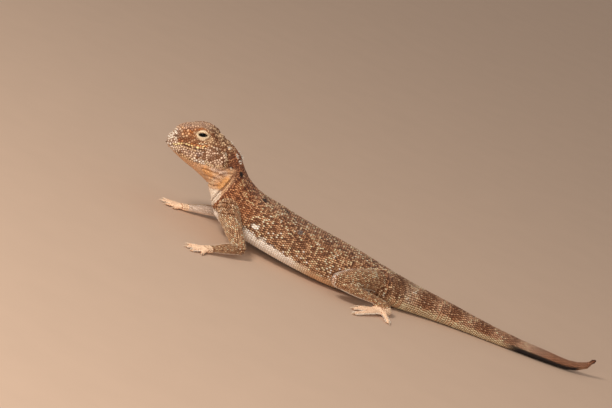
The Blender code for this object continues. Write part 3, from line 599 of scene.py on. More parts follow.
HEAD_STREAKS = (
    Streak(((11.6, 5.3, 7.4), (9.9, 5.4, 8.7), (7.4, 5.0, 9.7), (3.8, 5.0, 10.2), (-1.2, 4.6, 9.3)), 0.55,
           Tone.MAUVE, 0.55),
    Streak(((10.2, 5.0, 8.6), (9.4, 5.6, 8.2)), 0.6, Tone.ORANGE, 0.6),
    Streak(((8.6, 7.4, 7.0), (6.9, 7.8, 7.3), (4.6, 8.6, 6.3)), 1.05, Tone.EMBER, 0.42),
    Streak(((-2.0, 7.9, 8.0), (-2.9, 7.1, 7.3), (-4.7, 7.2, 5.0), (-6.7, 8.2, 2.6), (-8.8, 8.0, 0.7),
            (-9.9, 8.3, -1.7)), 0.95, Tone.BRICK, 0.66),
    Streak(((5.4, 9.2, 3.6), (4.2, 9.8, 3.4), (0.8, 10.4, 3.5), (-1.4, 10.0, 3.7)), 0.42, Tone.EMBER, 0.75),
    Streak(((8.0, 8.6, 4.6), (4.6, 9.4, 4.6), (1.2, 10.0, 5.0)), 0.8, Tone.RUST, 0.35),
    Streak(((9.8, 8.0, 4.1), (9.0, 8.3, 3.6)), 0.75, Tone.RUST, 0.85),
    Streak(((1.9, 10.4, 0.6),), 1.25, Tone.MAUVE, 0.75),
    Streak(((3.4, 9.3, -2.2), (1.4, 9.8, -2.5), (-0.6, 10.1, -2.7)), 0.75, Tone.WHITE, 0.90),
    Streak(((-3.9, 10.7, -3.4), (-6.9, 10.1, -3.9)), 0.6, Tone.PINK, 0.6),
    Streak(((4.0, 9.8, -0.6), (6.6, 9.2, -0.2), (9.0, 8.6, 0.9), (11.6, 6.8, 1.9)), 1.5, Tone.ROSE, 0.55),
    Streak(((-1.0, 8.9, -5.6), (-3.0, 8.8, -6.8)), 1.5, Tone.ORANGE, 0.65),
    Streak(((-9.9, 9.4, -7.9), (-8.8, 9.4, -9.0), (-7.0, 9.1, -10.6)), 1.2, Tone.ORANGE, 0.75),
    Streak(((-3.8, 10.4, -4.7), (-6.4, 10.2, -5.0), (-9.0, 9.4, -5.6)), 0.85, Tone.ROSE, 0.80),
    Streak(((-6.2, 9.8, -7.2), (-4.9, 9.2, -8.2)), 0.7, Tone.ROSE, 0.5),
    Streak(((-4.4, 8.6, -9.2), (-3.8, 7.4, -10.4), (-3.4, 4.0, -11.4)), 0.8, Tone.CREAM, 0.75),
    Streak(((-11.9, 8.0, -5.4), (-10.5, 9.3, -8.5), (-9.0, 9.5, -11.0), (-7.2, 9.0, -13.4),
            (-5.4, 6.8, -16.0)), 0.42, Tone.BRICK, 0.85),
)
# Painted shade: dark ember line in the crease under the brow, above the upper lid.
BROW_CREASE_SHADE = Streak(((6.2, 7.9, 7.6), (4.6, 8.4, 8.4), (3.2, 8.6, 9.1), (1.6, 8.6, 9.4), (0.0, 8.7, 9.1),
                   (-1.2, 8.8, 8.0), (-1.8, 8.8, 6.8)), 0.62, Tone.EMBER, 0.90)
LID_SHADOW = Streak(
    ((3.8, 9.0, 5.8), (2.0, 9.9, 5.0), (0.0, 9.9, 5.2), (-1.5, 9.4, 6.2)), 0.42, Tone.SEPIA, 0.65)


@dataclass
class Markings:
    """Colours of skin and scales by place. Skin and coat both take them from here."""

    head: HeadFrame
    line: BodyLine
    names: list[str]
    tail_bars: int = 7
    belly_line: tuple[tuple[float, float], ...] = (
        (-62.0, -0.34), (-50.0, -0.33), (-42.0, -0.31), (-32.0, -0.34), (-22.0, -0.46), (-8.0, -0.60))
    jaw_line: tuple[tuple[float, float], ...] = (
        (-8.0, -3.6), (0.7, -3.5), (4.6, -3.2), (7.6, -2.2), (11.2, -0.9), (13.9, 1.0))
    spots: tuple[Spot, ...] = (
        Spot((-60.2, -4.6, 24.8), (0.8, 1.4, 1.2), Tone.BLACK),
        Spot((-60.4, 6.4, 24.2), (0.8, 1.4, 1.2), Tone.BLACK),
        Spot((-48.7, -3.0, 19.2), (1.0, 1.4, 0.9), Tone.BLACK, 0.9),
        Spot((-39.5, -0.6, 18.2), (0.8, 1.2, 0.9), Tone.BLACK, 0.8),
        Spot((-31.9, -9.1, 15.1), (1.2, 1.6, 0.9), Tone.SLATE, 0.8),
        Spot((-51.2, 5.6, 20.0), (1.0, 1.4, 0.9), Tone.BLACK, 0.9),
        Spot((-42.2, 8.0, 17.4), (0.8, 1.2, 0.9), Tone.UMBER, 0.8),
        Spot((-30.4, 5.2, 16.6), (1.1, 1.5, 0.9), Tone.SLATE, 0.8),
        Spot((-47.5, -13.2, 11.1), (2.4, 2.4, 1.7), Tone.UMBER, 0.40),
        Spot((-47.2, 14.4, 11.0), (2.4, 2.4, 1.7), Tone.UMBER, 0.40),
        Spot((-47.8, -13.2, 11.1), (1.4, 1.6, 0.80), Tone.WHITE, 0.85),
        Spot((-47.2, 14.4, 11.0), (1.4, 1.6, 0.80), Tone.WHITE, 0.85),
    )

    creases: list[tuple[Points, float]] = field(default_factory=list)

    def palette(self, value: Points) -> Points:
        """Sandy mix of dark and cream grains from a value between 0 and 1."""
        steps = (0.0, 0.26, 0.46, 0.66, 0.86, 1.0)
        tones = np.array([
            tone.rgb for tone in (Tone.UMBER, Tone.SEPIA, Tone.TAN, Tone.SAND, Tone.CREAM, Tone.CREAM)])
        return np.stack([np.interp(value, steps, tones[:, k]) for k in range(3)], axis=-1)

    def grains(self, points: Points, dice: Dice, grain: float) -> Points:
        """Value between 0 and 1 that sorts places into dark and cream grains."""
        drift = 0.06 * ripple(points, 8.0, 3.0)
        dashes = 0.08 * ripple(points * (2.6, 1.0, 1.0), 1.7, 5.0)
        return 0.455 + drift + dashes + 0.80 * grain * (dice.random(len(points)) - 0.5)

    def tint(self, points: Points, normals: Points, owners: Points, grain: float, seed: int) -> Points:
        """Colour at each place.

        Args:
            points: Places on the skin.
            normals: Outward directions there.
            owners: Numbers of the nodes that the places belong to.
            grain: How much single grains differ.
            seed: Seed of the random draw.

        Returns:
            One linear colour for each place.
        """
        dice = np.random.default_rng(seed)
        value = self.grains(points, dice, grain)
        colours = self.palette(np.clip(value, 0.0, 1.0))
        owner_names = np.array(self.names)[owners]
        trunk = np.isin(owner_names, ("neck", "torso"))
        tail = np.char.startswith(owner_names, "tail")
        head = owner_names == "head"
        limb = ~(trunk | tail | head)
        colours[trunk] = self.trunk(points, colours)[trunk]
        colours[tail] = self.tail(points, colours)[tail]
        colours[limb] = self.limb(points, normals, colours, owner_names)[limb]
        shade = self.head_colours(points, colours, value)
        near = head | ((owner_names == "neck") & (self.head.local(points)[:, 0] > -16.0))
        colours[near] = shade[near]
        for spot in self.spots:
            offset = (points - np.array(spot.place)) / np.array(spot.reach)
            share = spot.strength * ease(1.25, 0.75, lengths_of(offset))
            colours = blend(colours, spot.tone.rgb * (0.8 + 0.4 * dice.random((len(points), 1))), share)
        # Painted shade in the creases: brick colour darkens skin and scales along every fold, more for
        # deeper folds.
        for path, depth in self.creases:
            distance, _ = path_gaps(points, path, 1.2)
            colours = blend(colours, Tone.BRICK.rgb, np.minimum(1.6 * depth, 0.9) * bell(distance, 0.36))
        return np.maximum(colours, 0.008)

    def level(self, points: Points) -> Points:
        """Height on the body's side, from -1 on the floor to 1 on the back."""
        _, height, _, half_height = self.line.at(points[:, 0])
        return (points[:, 2] - height) / half_height

    def relief(self, points: Points, normals: Points, owners: Points) -> Points:
        """How strongly scales stand out: most on the head, least on throat, belly and lids.

        Args:
            points: Places on the skin.
            normals: Outward directions there.
            owners: Numbers of the nodes that the places belong to.

        Returns:
            One value for each place, 1 on the back.
        """
        names = np.array(self.names)[owners]
        body = np.isin(names, ("head", "neck", "torso")) | np.char.startswith(names, "tail")
        forward, side, up = self.head.local(points).T
        result = np.where(names == "head", 1.25, 1.0)
        edge = read_off(self.belly_line, points[:, 0])
        result = np.where(np.isin(names, ("torso", "neck")) & (self.level(points) < edge), 0.45, result)
        jaw = read_off(self.jaw_line, forward)
        throat = (up < jaw) & (forward > -11.8) & np.isin(names, ("head", "neck"))
        result = np.where(throat, 0.35, result)
        eye = np.array(self.head.eye)
        lid = np.hypot((forward - eye[0]) / 2.3, (up - eye[2] - 0.35) / 1.72) < 1.0
        result = np.where(lid & (np.abs(side) > 6.5), 0.5, result)
        for spot in self.spots:
            if spot.tone is Tone.WHITE:
                near = lengths_of((points - np.array(spot.place)) / np.array(spot.reach)) < 1.1
                result = np.where(near, 0.35, result)
        return np.where(~body & (normals[:, 2] < -0.4), 0.5, result)

    def trunk(self, points: Points, colours: Points) -> Points:
        """Back and flanks over a pale belly, with painted shade turning its rear to darker sand."""
        level = self.level(points)
        x = points[:, 0]
        shoulder = ease(-44.0, -56.0, x) * ease(-0.35, 0.05, level)
        colours = blend(colours, colours * (0.86, 0.66, 0.54), shoulder)
        side = np.abs(points[:, 1] - MIDDLE_Y)
        rust = bell(np.hypot((x + 53.4) / 3.4, (points[:, 2] - 14.2) / 3.2), 1.0)
        rust = rust * ease(8.0, 10.5, side)
        colours = blend(colours, Tone.RUST.rgb * (0.9, 0.95, 1.0), 0.50 * rust)
        upper = ease(0.05, 0.55, level)
        colours = blend(colours, colours * (0.92, 0.78, 0.70), 0.6 * upper)
        back = ease(0.70, 1.0, level)
        colours = blend(colours, Tone.SLATE.rgb * 1.3, 0.14 * back)
        edge = read_off(self.belly_line, x) + 0.10 * ripple(points, 2.6, 5.0)
        edge = edge + 0.08 * ripple(points, 0.9, 7.0)
        belly = ease(edge + 0.10, edge - 0.10, level)
        # Painted shade: the belly's white turns to darker sand towards the rear, where the belly lies on the
        # floor.
        rear = ease(-36.0, -20.0, x + 1.5 * ripple(points, 4.0, 2.0))
        pale = blend(Tone.WHITE.rgb, Tone.SAND.rgb * (1.25, 1.25, 1.10), 0.88 * rear)
        return blend(colours, pale, belly)

    def tail(self, points: Points, colours: Points) -> Points:
        """Saddle bars over an ochre underside, and a black underside on the last length."""
        x = points[:, 0]
        level = self.level(points)
        span = (x - 4.0) / (88.0 - 4.0)
        bars = 0.5 - 0.5 * np.cos(2.0 * math.pi * (self.tail_bars * span + 0.12 * ripple(points, 5.0, 2.0)))
        dark = bars * ease(-0.15, 0.35, level) * ease(1.02, 0.85, span)
        colours = blend(colours, Tone.CREAM.rgb * (0.86, 0.86, 0.92), 0.34 * (1.0 - bars))
        colours = blend(colours, Tone.SEPIA.rgb * 0.8, 0.68 * dark)
        colours = blend(colours, colours * (0.88, 0.74, 0.68), ease(0.05, 0.30, span))
        colours = blend(colours, Tone.PINK.rgb * 0.85, 0.55 * ease(0.55, 0.85, span))
        under = ease(0.02, -0.35, level)
        colours = blend(colours, blend(Tone.SAND.rgb * 1.2, Tone.CREAM.rgb, 0.35), under)
        black = ease(0.58, 0.68, span) * ease(0.985, 0.955, span)
        black = black * ease(0.10, -0.15, level)
        colours = blend(colours, Tone.RUST.rgb * (0.62, 0.66, 0.80), 0.80 * ease(0.72, 0.86, span))
        return blend(colours, Tone.BLACK.rgb, black)

    def limb(self, points: Points, normals: Points, colours: Points, names: Points) -> Points:
        """Sandy limbs, pale beneath and along the inner side of the arms, with pale paws."""
        arm = np.char.endswith(names, "arm")
        colours = blend(colours, Tone.SAND.rgb * (0.95, 0.92, 0.90), 0.34)
        below = ease(-0.45, -0.92, normals[:, 2])
        colours = blend(colours, Tone.WHITE.rgb, 0.85 * below)
        outward = normals[:, 1] * np.where(np.char.startswith(names, "left"), -1.0, 1.0)
        inner = np.where(arm, ease(0.05, -0.40, outward), 0.6 * ease(-0.05, -0.60, outward))
        colours = blend(colours, blend(Tone.ROSE.rgb * 1.35, Tone.LID.rgb * 1.15, 0.5), 0.94 * inner)
        front = ease(0.45, 0.90, -normals[:, 0]) * arm
        colours = blend(colours, Tone.CREAM.rgb, 0.40 * front)
        knee = np.char.endswith(names, "thigh") * ease(0.1, 0.7, -normals[:, 0])
        colours = blend(colours, Tone.ROSE.rgb * (1.1, 1.05, 1.0), 0.80 * knee)
        return blend(colours, Tone.ROSE.rgb * (1.40, 1.32, 1.18), 0.88 * paws_among(names))

    def head_colours(self, points: Points, colours: Points, value: Points) -> Points:
        """Pinkish crown, rusty cheeks, pale lips and lids, and an orange throat with pale folds."""
        local = self.head.local(points)
        forward, side, up = local.T
        side = np.abs(side)
        local = np.stack((forward, side, up), axis=1)
        lateral = ease(5.6, 7.2, side)
        spread = ease(0.18, 0.80, value)[:, None]
        share = spread[:, 0]
        face = blend(Tone.SEPIA.rgb * (1.0, 0.95, 0.90), Tone.CREAM.rgb * (1.0, 0.93, 0.86), share)
        crown = ease(8.0, 9.3, up + 0.16 * (forward - 3.0))
        face = blend(face, blend(Tone.PINK.rgb, face, 0.40), 0.85 * crown)
        snout = ease(8.5, 12.0, forward) * ease(8.4, 6.8, up)
        face = blend(face, blend(Tone.PINK.rgb * 0.62, Tone.WHITE.rgb * 1.1, share), 0.75 * snout)
        flap = ease(1.15, 0.9, np.hypot((forward - FLAP_FORWARD) / 4.7, up / 3.5))
        flap = flap * ease(8.0, 9.2, side)
        face = blend(face, blend(Tone.SEPIA.rgb * (1.1, 1.2, 1.3), Tone.ROSE.rgb, share), 0.70 * flap)
        edge = read_off(self.jaw_line, forward) + 0.30 * ripple(points, 2.0, 6.0)
        throat = ease(edge + 0.35, edge - 0.35, up)
        skin_tone = blend(Tone.ROSE.rgb * (0.96, 0.86, 0.72), Tone.ORANGE.rgb, 0.30)
        face = blend(face, skin_tone * (0.90 + 0.20 * spread), 0.95 * throat)
        neck = ease(-7.0, -11.0, forward)
        nape = blend(colours * (1.0, 0.92, 0.88), Tone.BRICK.rgb * 1.5, 0.20)
        flank = throat * ease(-13.5, -10.5, forward)
        face = blend(face, nape, neck * (1.0 - flank))
        unevenness = ripple(points, 1.6, 4.0)
        for streak in (*HEAD_STREAKS, BROW_CREASE_SHADE, LID_SHADOW):
            face = blend(face, streak.tone.rgb * (0.85 + 0.3 * spread), streak.share(local, unevenness))
        chest = ease(-2.0, -3.6, forward) * ease(-9.0, -7.0, forward)
        chest = chest * ease(-11.4, -12.8, up)
        face = blend(face, Tone.WHITE.rgb, 0.90 * chest)
        eye = np.array(self.head.eye)
        lens = ((forward - eye[0]) / 2.60) ** 2 + np.abs(up - eye[2] - 0.40) / 1.84
        return blend(face, Tone.LID.rgb, 0.92 * ease(1.10, 0.92, lens) * lateral)


@dataclass(frozen=True)
class Fold:
    """Crease in the skin along a path, with a soft ridge on each side."""

    path: Triples
    depth: float
    width: float
    ridge: float = 0.5


@dataclass
class Skin:
    """One closed skin over every node of flesh."""

    nodes: dict[str, Piece]
    names: list[str]
    head: HeadFrame
    paws: list[Paw]
    voxel: float = 0.30
    swell: float = 0.20
    coat_depth: float = 0.24
    socket_fill: float = 0.36
    spike_rounds: int = 30
    fill_rounds: int = 22
    even_rounds: int = 2
    piece: Piece = field(init=False)

    def swollen(self, target: bmesh.types.BMesh, source: Piece, distance: float) -> None:
        """Add a copy of a node, moved out by a distance, to a growing mesh."""
        work = bmesh.new()
        work.from_mesh(source.data)
        bmesh.ops.remove_doubles(work, verts=work.verts, dist=1e-6)
        work.normal_update()
        for vertex in work.verts:
            vertex.co += vertex.normal * distance * MM
        mesh = bpy.data.meshes.new("swollen")
        work.to_mesh(mesh)
        work.free()
        target.from_mesh(mesh)
        bpy.data.meshes.remove(mesh)

    def fuse(self) -> None:
        """Join the flesh, the filled sockets and the paws, and remesh them as one surface."""
        joined = bmesh.new()
        paw_names = {paw.name for paw in self.paws}
        for name in self.names:
            if name not in paw_names:
                self.swollen(joined, self.nodes[name], self.swell)
        for name in ("left_eye", "right_eye"):
            self.swollen(joined, self.nodes[name], self.socket_fill)
        for paw in self.paws:
            for points, faces in paw.tubes():
                mesh = bpy.data.meshes.new("paw")
                mesh.from_pydata((points * MM).tolist(), [], faces)
                joined.from_mesh(mesh)
                bpy.data.meshes.remove(mesh)
        mesh = bpy.data.meshes.new("skin")
        joined.to_mesh(mesh)
        joined.free()
        piece = into_scene("skin", mesh)
        remesh = piece.modifiers.new("remesh", "REMESH")
        remesh.mode = "VOXEL"
        remesh.voxel_size = self.voxel * MM
        depsgraph = bpy.context.evaluated_depsgraph_get()
        piece.data = bpy.data.meshes.new_from_object(piece.evaluated_get(depsgraph))
        piece.modifiers.clear()
        self.piece = piece
        self.drop_islands()

    def drop_islands(self) -> None:
        """Keep only the largest closed surface."""
        work = bmesh.new()
        work.from_mesh(self.piece.data)
        work.verts.ensure_lookup_table()
        seen: set[int] = set()
        largest: list[int] = []
        for start in range(len(work.verts)):
            if start in seen:
                continue
            seen.add(start)
            island = [start]
            for number in island:
                for edge in work.verts[number].link_edges:
                    other = edge.other_vert(work.verts[number]).index
                    if other not in seen:
                        seen.add(other)
                        island.append(other)
            if len(island) > len(largest):
                largest = island
        kept = set(largest)
        loose = [vertex for vertex in work.verts if vertex.index not in kept]
        bmesh.ops.delete(work, geom=loose, context="VERTS")
        work.to_mesh(self.piece.data)
        work.free()

    def refine(self, centres: Points, reaches: Sequence[float]) -> None:
        """Split the faces round the eyes, nostrils and mouth."""
        work = bmesh.new()
        work.from_mesh(self.piece.data)
        tree = grown_tree(centres)
        box_low, box_high = centres.min(0) - max(reaches), centres.max(0) + max(reaches)
        edges = set()
        for face in work.faces:
            middle = face.calc_center_median() / MM
            if not all(box_low[k] < middle[k] < box_high[k] for k in range(3)):
                continue
            _, number, distance = tree.find(middle)
            if distance < reaches[number]:
                edges.update(face.edges)
        bmesh.ops.subdivide_edges(work, edges=list(edges), cuts=1, use_grid_fill=True, smooth=0.0)
        work.to_mesh(self.piece.data)
        work.free()

    def edge_pairs(self) -> Points:
        """Vertex numbers at both ends of each edge."""
        pairs = np.zeros(2 * len(self.piece.data.edges), np.int32)
        self.piece.data.edges.foreach_get("vertices", pairs)
        return pairs.reshape(-1, 2)

    def neighbour_mean(self, places: Points, pairs: Points) -> Points:
        """Mean of each vertex's neighbours."""
        total = np.zeros_like(places)
        count = np.zeros(len(places))
        for near, far in ((0, 1), (1, 0)):
            for axis in range(3):
                total[:, axis] += np.bincount(pairs[:, near], places[pairs[:, far], axis], len(places))
            count += np.bincount(pairs[:, near], minlength=len(places))
        return total / np.maximum(count, 1.0)[:, None]

    def normals(self) -> Points:
        """Outward direction at each vertex."""
        values = np.zeros(3 * len(self.piece.data.vertices), np.float32)
        self.piece.data.vertex_normals.foreach_get("vector", values)
        return values.reshape(-1, 3).astype(float)

    def place(self, places: Points) -> None:
        """Write the vertices back, none below the floor."""
        places[:, 2] = np.maximum(places[:, 2], 0.03)
        self.piece.data.vertices.foreach_set("co", (places * MM).astype(np.float32).ravel())
        self.piece.data.update()

    def settle(self, spikes: Points) -> None:
        """Even the surface, flatten the solids' spines and fill the creases where forms meet."""
        pairs = self.edge_pairs()
        places = vertices_of(self.piece)
        spiky = ease(2.2, 1.5, gaps_to(spikes, places))
        for _ in range(self.spike_rounds):
            places += 0.6 * spiky[:, None] * (self.neighbour_mean(places, pairs) - places)
        for _ in range(self.even_rounds):
            places += 0.5 * (self.neighbour_mean(places, pairs) - places)
        self.place(places)
        for _ in range(self.fill_rounds):
            normals = self.normals()
            step = self.neighbour_mean(places, pairs) - places
            rise = (step * normals).sum(1)
            places += 0.5 * np.where(rise > 0.0, 1.0, 0.0)[:, None] * step
            self.place(places)

    def press(self, moves: Points) -> None:
        """Move each vertex along its normal."""
        places = vertices_of(self.piece)
        places += self.normals() * moves[:, None]
        self.place(places)


@dataclass
class LipLine:
    """Line of the mouth, from one corner round the snout to the other."""

    head: HeadFrame
    turns: tuple[float, ...] = (0.0, 30.0, 55.0, 73.0, 88.0, 100.0, 111.0, 117.0)
    levels: tuple[float, ...] = (1.3, 1.2, 1.8, 2.6, 2.4, 1.9, 2.1, 3.0)
    jaw_middle: float = 5.0

    def trace(self, surface: Surface, rise: float = 0.0, count: int = 300) -> Points:
        """Places along the line, or along one a rise above it, on a surface."""
        places = []
        for turn in np.linspace(-self.turns[-1], self.turns[-1], count):
            level = float(np.interp(abs(turn), self.turns, self.levels)) + rise
            middle = self.head.world(np.array((self.jaw_middle, 0.0, level)))
            angle = math.radians(turn)
            ray = np.array((math.cos(angle), math.sin(angle), 0.0)) @ self.head.axes
            hit = surface.ray(middle + 30.0 * ray, -ray)
            if hit is not None:
                places.append(hit)
        return np.array(places)


@dataclass
class EyeRegion:
    """One eye: its middle, its axes and the almond between its lids."""

    head: HeadFrame
    side: float
    look_up: float = math.radians(11.0)
    ball_radius: float = 2.2
    half_length: float = 2.2
    upper: float = 0.88
    lower: float = 0.80
    sunk_radius: float = 1.75
    reach: float = 4.6

    @property
    def centre(self) -> Points:
        """Middle of the eyeball, from its node."""
        name = "right_eye" if self.side > 0.0 else "left_eye"
        low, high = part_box(name)
        return (np.array(low) + np.array(high)) * 0.5 / MM

    @property
    def axes(self) -> Points:
        """Rows are forward, upward along the lids and outward through the pupil."""
        forward, side, up = self.head.axes
        outward = math.cos(self.look_up) * self.side * side + math.sin(self.look_up) * up
        upward = math.cos(self.look_up) * up - math.sin(self.look_up) * self.side * side
        return np.array((forward, upward, outward))

    def almond(self, local: Points) -> Points:
        """Value that is below 1 inside the opening and grows outside it."""
        height = np.where(local[:, 1] > 0.0, self.upper, self.lower)
        return np.abs(local[:, 0] / self.half_length) ** 3.0 + (np.abs(local[:, 1]) / height) ** 1.3

    def rim(self, share: Points, upper: bool, grow: float = 1.0) -> Points:
        """Places along one lid's margin, on the lid's ball.

        Args:
            share: From -1 at the rear corner to 1 at the front one.
            upper: Whether it is the upper lid.
            grow: Size of the almond against the opening's.

        Returns:
            World places on a ball just outside the eye.
        """
        height = self.upper if upper else -self.lower
        across = grow * self.half_length * share
        rise = grow * height * (1.0 - share ** 2)
        radius = self.ball_radius + 0.45
        out = np.sqrt(np.maximum(radius ** 2 - across ** 2 - rise ** 2, 0.2))
        return self.centre + np.stack((across, rise, out), axis=1) @ self.axes

    def open_lids(self, places: Points) -> Points:
        """Places of the skin after the opening is pressed in behind the ball."""
        offset = (places - self.centre) @ self.axes.T
        distance = lengths_of(offset)
        near = (distance < self.reach) & (offset[:, 2] > 0.4)
        local = offset[near]
        radius = distance[near]
        almond = self.almond(local)
        lid = self.ball_radius + 0.62
        shape = ease(4.3, 3.2, radius)
        radius_new = radius + (lid - radius) * shape * bell(np.maximum(almond - 1.0, 0.0), 1.6)
        share = ease(0.96, 1.22, almond)
        radius_new = self.sunk_radius + (radius_new - self.sunk_radius) * share
        radius_new -= 0.16 * bell(almond - 2.9, 0.45) * ease(0.0, 0.3, np.abs(local[:, 1]))
        offset[near] = local * (radius_new / radius)[:, None]
        moved = places.copy()
        moved[near] = self.centre + offset[near] @ self.axes
        return moved


@dataclass
class Sculptor:
    """Presses lids, nostrils, lips and folds into the skin."""

    skin: Skin
    head: HeadFrame
    eyes: list[EyeRegion]
    lips: LipLine
    nostril: Triple = (11.0, 6.8, 5.2)
    nostril_bare: float = 0.66
    line: Points = field(init=False)
    nostrils: Points = field(init=False)
    surface: Surface = field(init=False)
    creases: list[tuple[Points, float]] = field(default_factory=list)

    def refine(self) -> None:
        """Find the mouth and nostrils and give those places and the eyes a finer mesh."""
        surface = Surface([self.skin.piece])
        self.line = self.lips.trace(surface)
        aims = self.head.world([np.array(self.nostril) * (1.0, side, 1.0) for side in (1.0, -1.0)])
        self.nostrils = surface.nearest(aims)[0]
        centres = np.vstack([self.line, self.nostrils, *[eye.centre for eye in self.eyes]])
        reaches = [1.1] * len(self.line) + [1.5] * 2 + [4.1] * 2
        self.skin.refine(centres, reaches)

    def carve(self, folds: Sequence[Fold]) -> None:
        """Press in everything that the skin shows."""
        skin = self.skin
        skin.press(np.full(len(skin.piece.data.vertices), -(skin.swell + skin.coat_depth)))
        places = vertices_of(skin.piece)
        for eye in self.eyes:
            places = eye.open_lids(places)
        skin.place(places)
        self.surface = Surface([skin.piece])
        moves = self.mouth(places) + self.nostril_pits(places) + self.flap_rims(places)
        for fold in folds:
            moves += self.crease(places, fold)
        moves += self.wrinkles(places)
        skin.press(moves)

    def mouth(self, places: Points) -> Points:
        """Groove between swollen lips."""
        distance, _ = path_gaps(places, self.line, 2.5)
        return -0.60 * bell(distance, 0.21) + 0.16 * bell(distance - 0.70, 0.42)

    def nostril_pits(self, places: Points) -> Points:
        """Pits with a raised rim."""
        moves = np.zeros(len(places))
        for nostril in self.nostrils:
            distance = lengths_of(places - nostril)
            moves += -0.85 * bell(distance, 0.40) + 0.20 * bell(distance - 0.80, 0.30)
        return moves

    def flap_rims(self, places: Points) -> Points:
        """Crease behind and under each cheek flap."""
        forward, side, up = self.head.local(places).T
        ahead = forward - FLAP_FORWARD
        along = ahead * math.cos(FLAP_TILT) + up * math.sin(FLAP_TILT)
        across = -ahead * math.sin(FLAP_TILT) + up * math.cos(FLAP_TILT)
        ring = np.hypot(along / 4.7, across / 3.3)
        angle = np.arctan2(across, along)
        rear = ease(0.3, -0.3, np.cos(angle + 0.35))
        outer = ease(7.5, 9.0, np.abs(side))
        return outer * rear * (-0.30 * bell(ring - 1.13, 0.09) + 0.12 * bell(ring - 0.98, 0.08))

    def crease(self, places: Points, fold: Fold) -> Points:
        """Press of one fold."""
        path = np.array(fold.path, float)
        steps = np.linspace(0.0, len(path) - 1.0, 24 * (len(path) - 1) + 1)
        dense = sample(path, np.arange(len(path)), steps)
        dense = self.surface.nearest(dense)[0]
        self.creases.append((dense, fold.depth))
        distance, nearest = path_gaps(places, dense, 4.0 * fold.width)
        ends = np.minimum(
            lengths_of(nearest - dense[0]), lengths_of(nearest - dense[-1]))
        strength = ease(0.0, 2.0, ends)
        groove = -fold.depth * bell(distance, fold.width)
        ridge = fold.ridge * fold.depth * bell(distance - 2.0 * fold.width, fold.width)
        return strength * (groove + ridge)

    def wrinkles(self, places: Points) -> Points:
        """Loose skin of the neck and shoulders."""
        moves = np.zeros(len(places))
        loose = (places[:, 0] < -52.0) & (places[:, 0] > -76.0)
        x, _, z = places[loose].T
        slant = x + 0.33 * z
        neck = bell(slant + 60.5, 5.0) * ease(3.0, 12.0, z)
        wave = np.sin(2.0 * math.pi * (slant + 0.8 * ripple(places[loose], 5.0, 4.0)) / 2.6)
        moves[loose] = 0.15 * neck * wave
        return moves


@dataclass(frozen=True)
class Template:
    """Shape of one scale: its points, faces and the painted lightness of each point, painted shade at its
    root and painted highlight on its crest.
    """

    points: Triples
    faces: tuple[tuple[int, ...], ...]
    light: tuple[float, ...]


def ring_template(
    outline: Sequence[tuple[float, float]], levels: Sequence[tuple], peak: Sequence[tuple],
) -> Template:
    """Scale from an outline that rises through levels to one or two peak points.

    Args:
        outline: Corners, front first, as (across, along).
        levels: Share of the outline, heights at the front and rear, and painted lightness there: painted
            shade low down, painted highlight high up.
        peak: Points of the crest as (across, along, height, painted lightness), the painted highlight.

    Returns:
        The closed template.
    """
    count = len(outline)
    points, light, faces = [], [], []
    ends = [row[1] for row in outline]
    for share, front, rear, dim, bright in levels:
        for across, along in outline:
            slope = (along - min(ends)) / (max(ends) - min(ends))
            points.append((share * across, share * along, front + (rear - front) * slope))
            light.append(dim + (bright - dim) * slope)
    faces += [tuple(range(count)), *ring_walls(len(levels), count, mirrored=True)]
    top = (len(levels) - 1) * count
    crest = len(points)
    points += [row[:3] for row in peak]
    light += [row[3] for row in peak]
    for k in range(count):
        after = (k + 1) % count
        near = crest if len(peak) == 1 or 0.5 * (outline[k][1] + outline[after][1]) < 0.0 else crest + 1
        faces.append((top + k, near, top + after))
    if len(peak) == 2:
        for k in range(count):
            before, after = outline[k - 1], outline[(k + 1) % count]
            low = 0.5 * (before[1] + outline[k][1]) < 0.0
            high = 0.5 * (after[1] + outline[k][1]) < 0.0
            if low != high:
                pair = (crest, crest + 1) if low else (crest + 1, crest)
                faces.append((top + k, pair[0], pair[1]))
    return Template(tuple(points), tuple(faces), tuple(light))


def round_outline(count: int) -> tuple[tuple[float, float], ...]:
    """Corners of a regular outline of radius one, front first."""
    turns = [math.pi + 2.0 * math.pi * k / count for k in range(count)]
    return tuple((math.sin(turn), math.cos(turn)) for turn in turns)


class Shape(Enum):
    """Kinds of scale."""

    # Each level's lightness is painted shade low on the scale and painted highlight on its crest and keel.
    KEELED = ring_template(
        ((0.0, -0.55), (-0.46, -0.22), (-0.40, 0.22), (0.0, 0.62), (0.40, 0.22), (0.46, -0.22)),
        ((1.0, -0.30, -0.10, 0.10, 0.26), (0.84, 0.20, 0.68, 0.30, 0.88)),
        ((0.0, -0.22, 0.48, 0.78), (0.0, 0.36, 1.08, 2.35)))
    CELL = ring_template(
        round_outline(8), ((1.0, -0.45, -0.45, 0.18, 0.22), (0.78, 0.52, 0.60, 0.80, 0.95)),
        ((0.0, 0.0, 0.95, 1.32),))
    PLATE = ring_template(
        ((0.0, -0.52), (-0.47, -0.27), (-0.47, 0.27), (0.0, 0.54), (0.47, 0.27), (0.47, -0.27)),
        ((1.0, -0.40, -0.35, 0.45, 0.60), (0.86, 0.30, 0.55, 0.85, 1.0)),
        ((0.0, 0.05, 0.62, 1.10),))


@dataclass
class Bed:
    """Rows of scales of one shape, with their places, lie, sizes and owners."""

    shape: Shape
    places: Points
    normals: Points
    along: Points
    length: Points
    width: Points
    height: Points
    owners: Points
    radii: Points | None = None
    tints: Points | None = None
    contrast: Points | None = None
    grain: float = 1.0

    def pick(self, keep: Points) -> Bed:
        """Bed with only the chosen scales."""
        rows = {
            key: value[keep] if isinstance(value, np.ndarray) else value
            for key, value in vars(self).items()}
        return Bed(**rows)


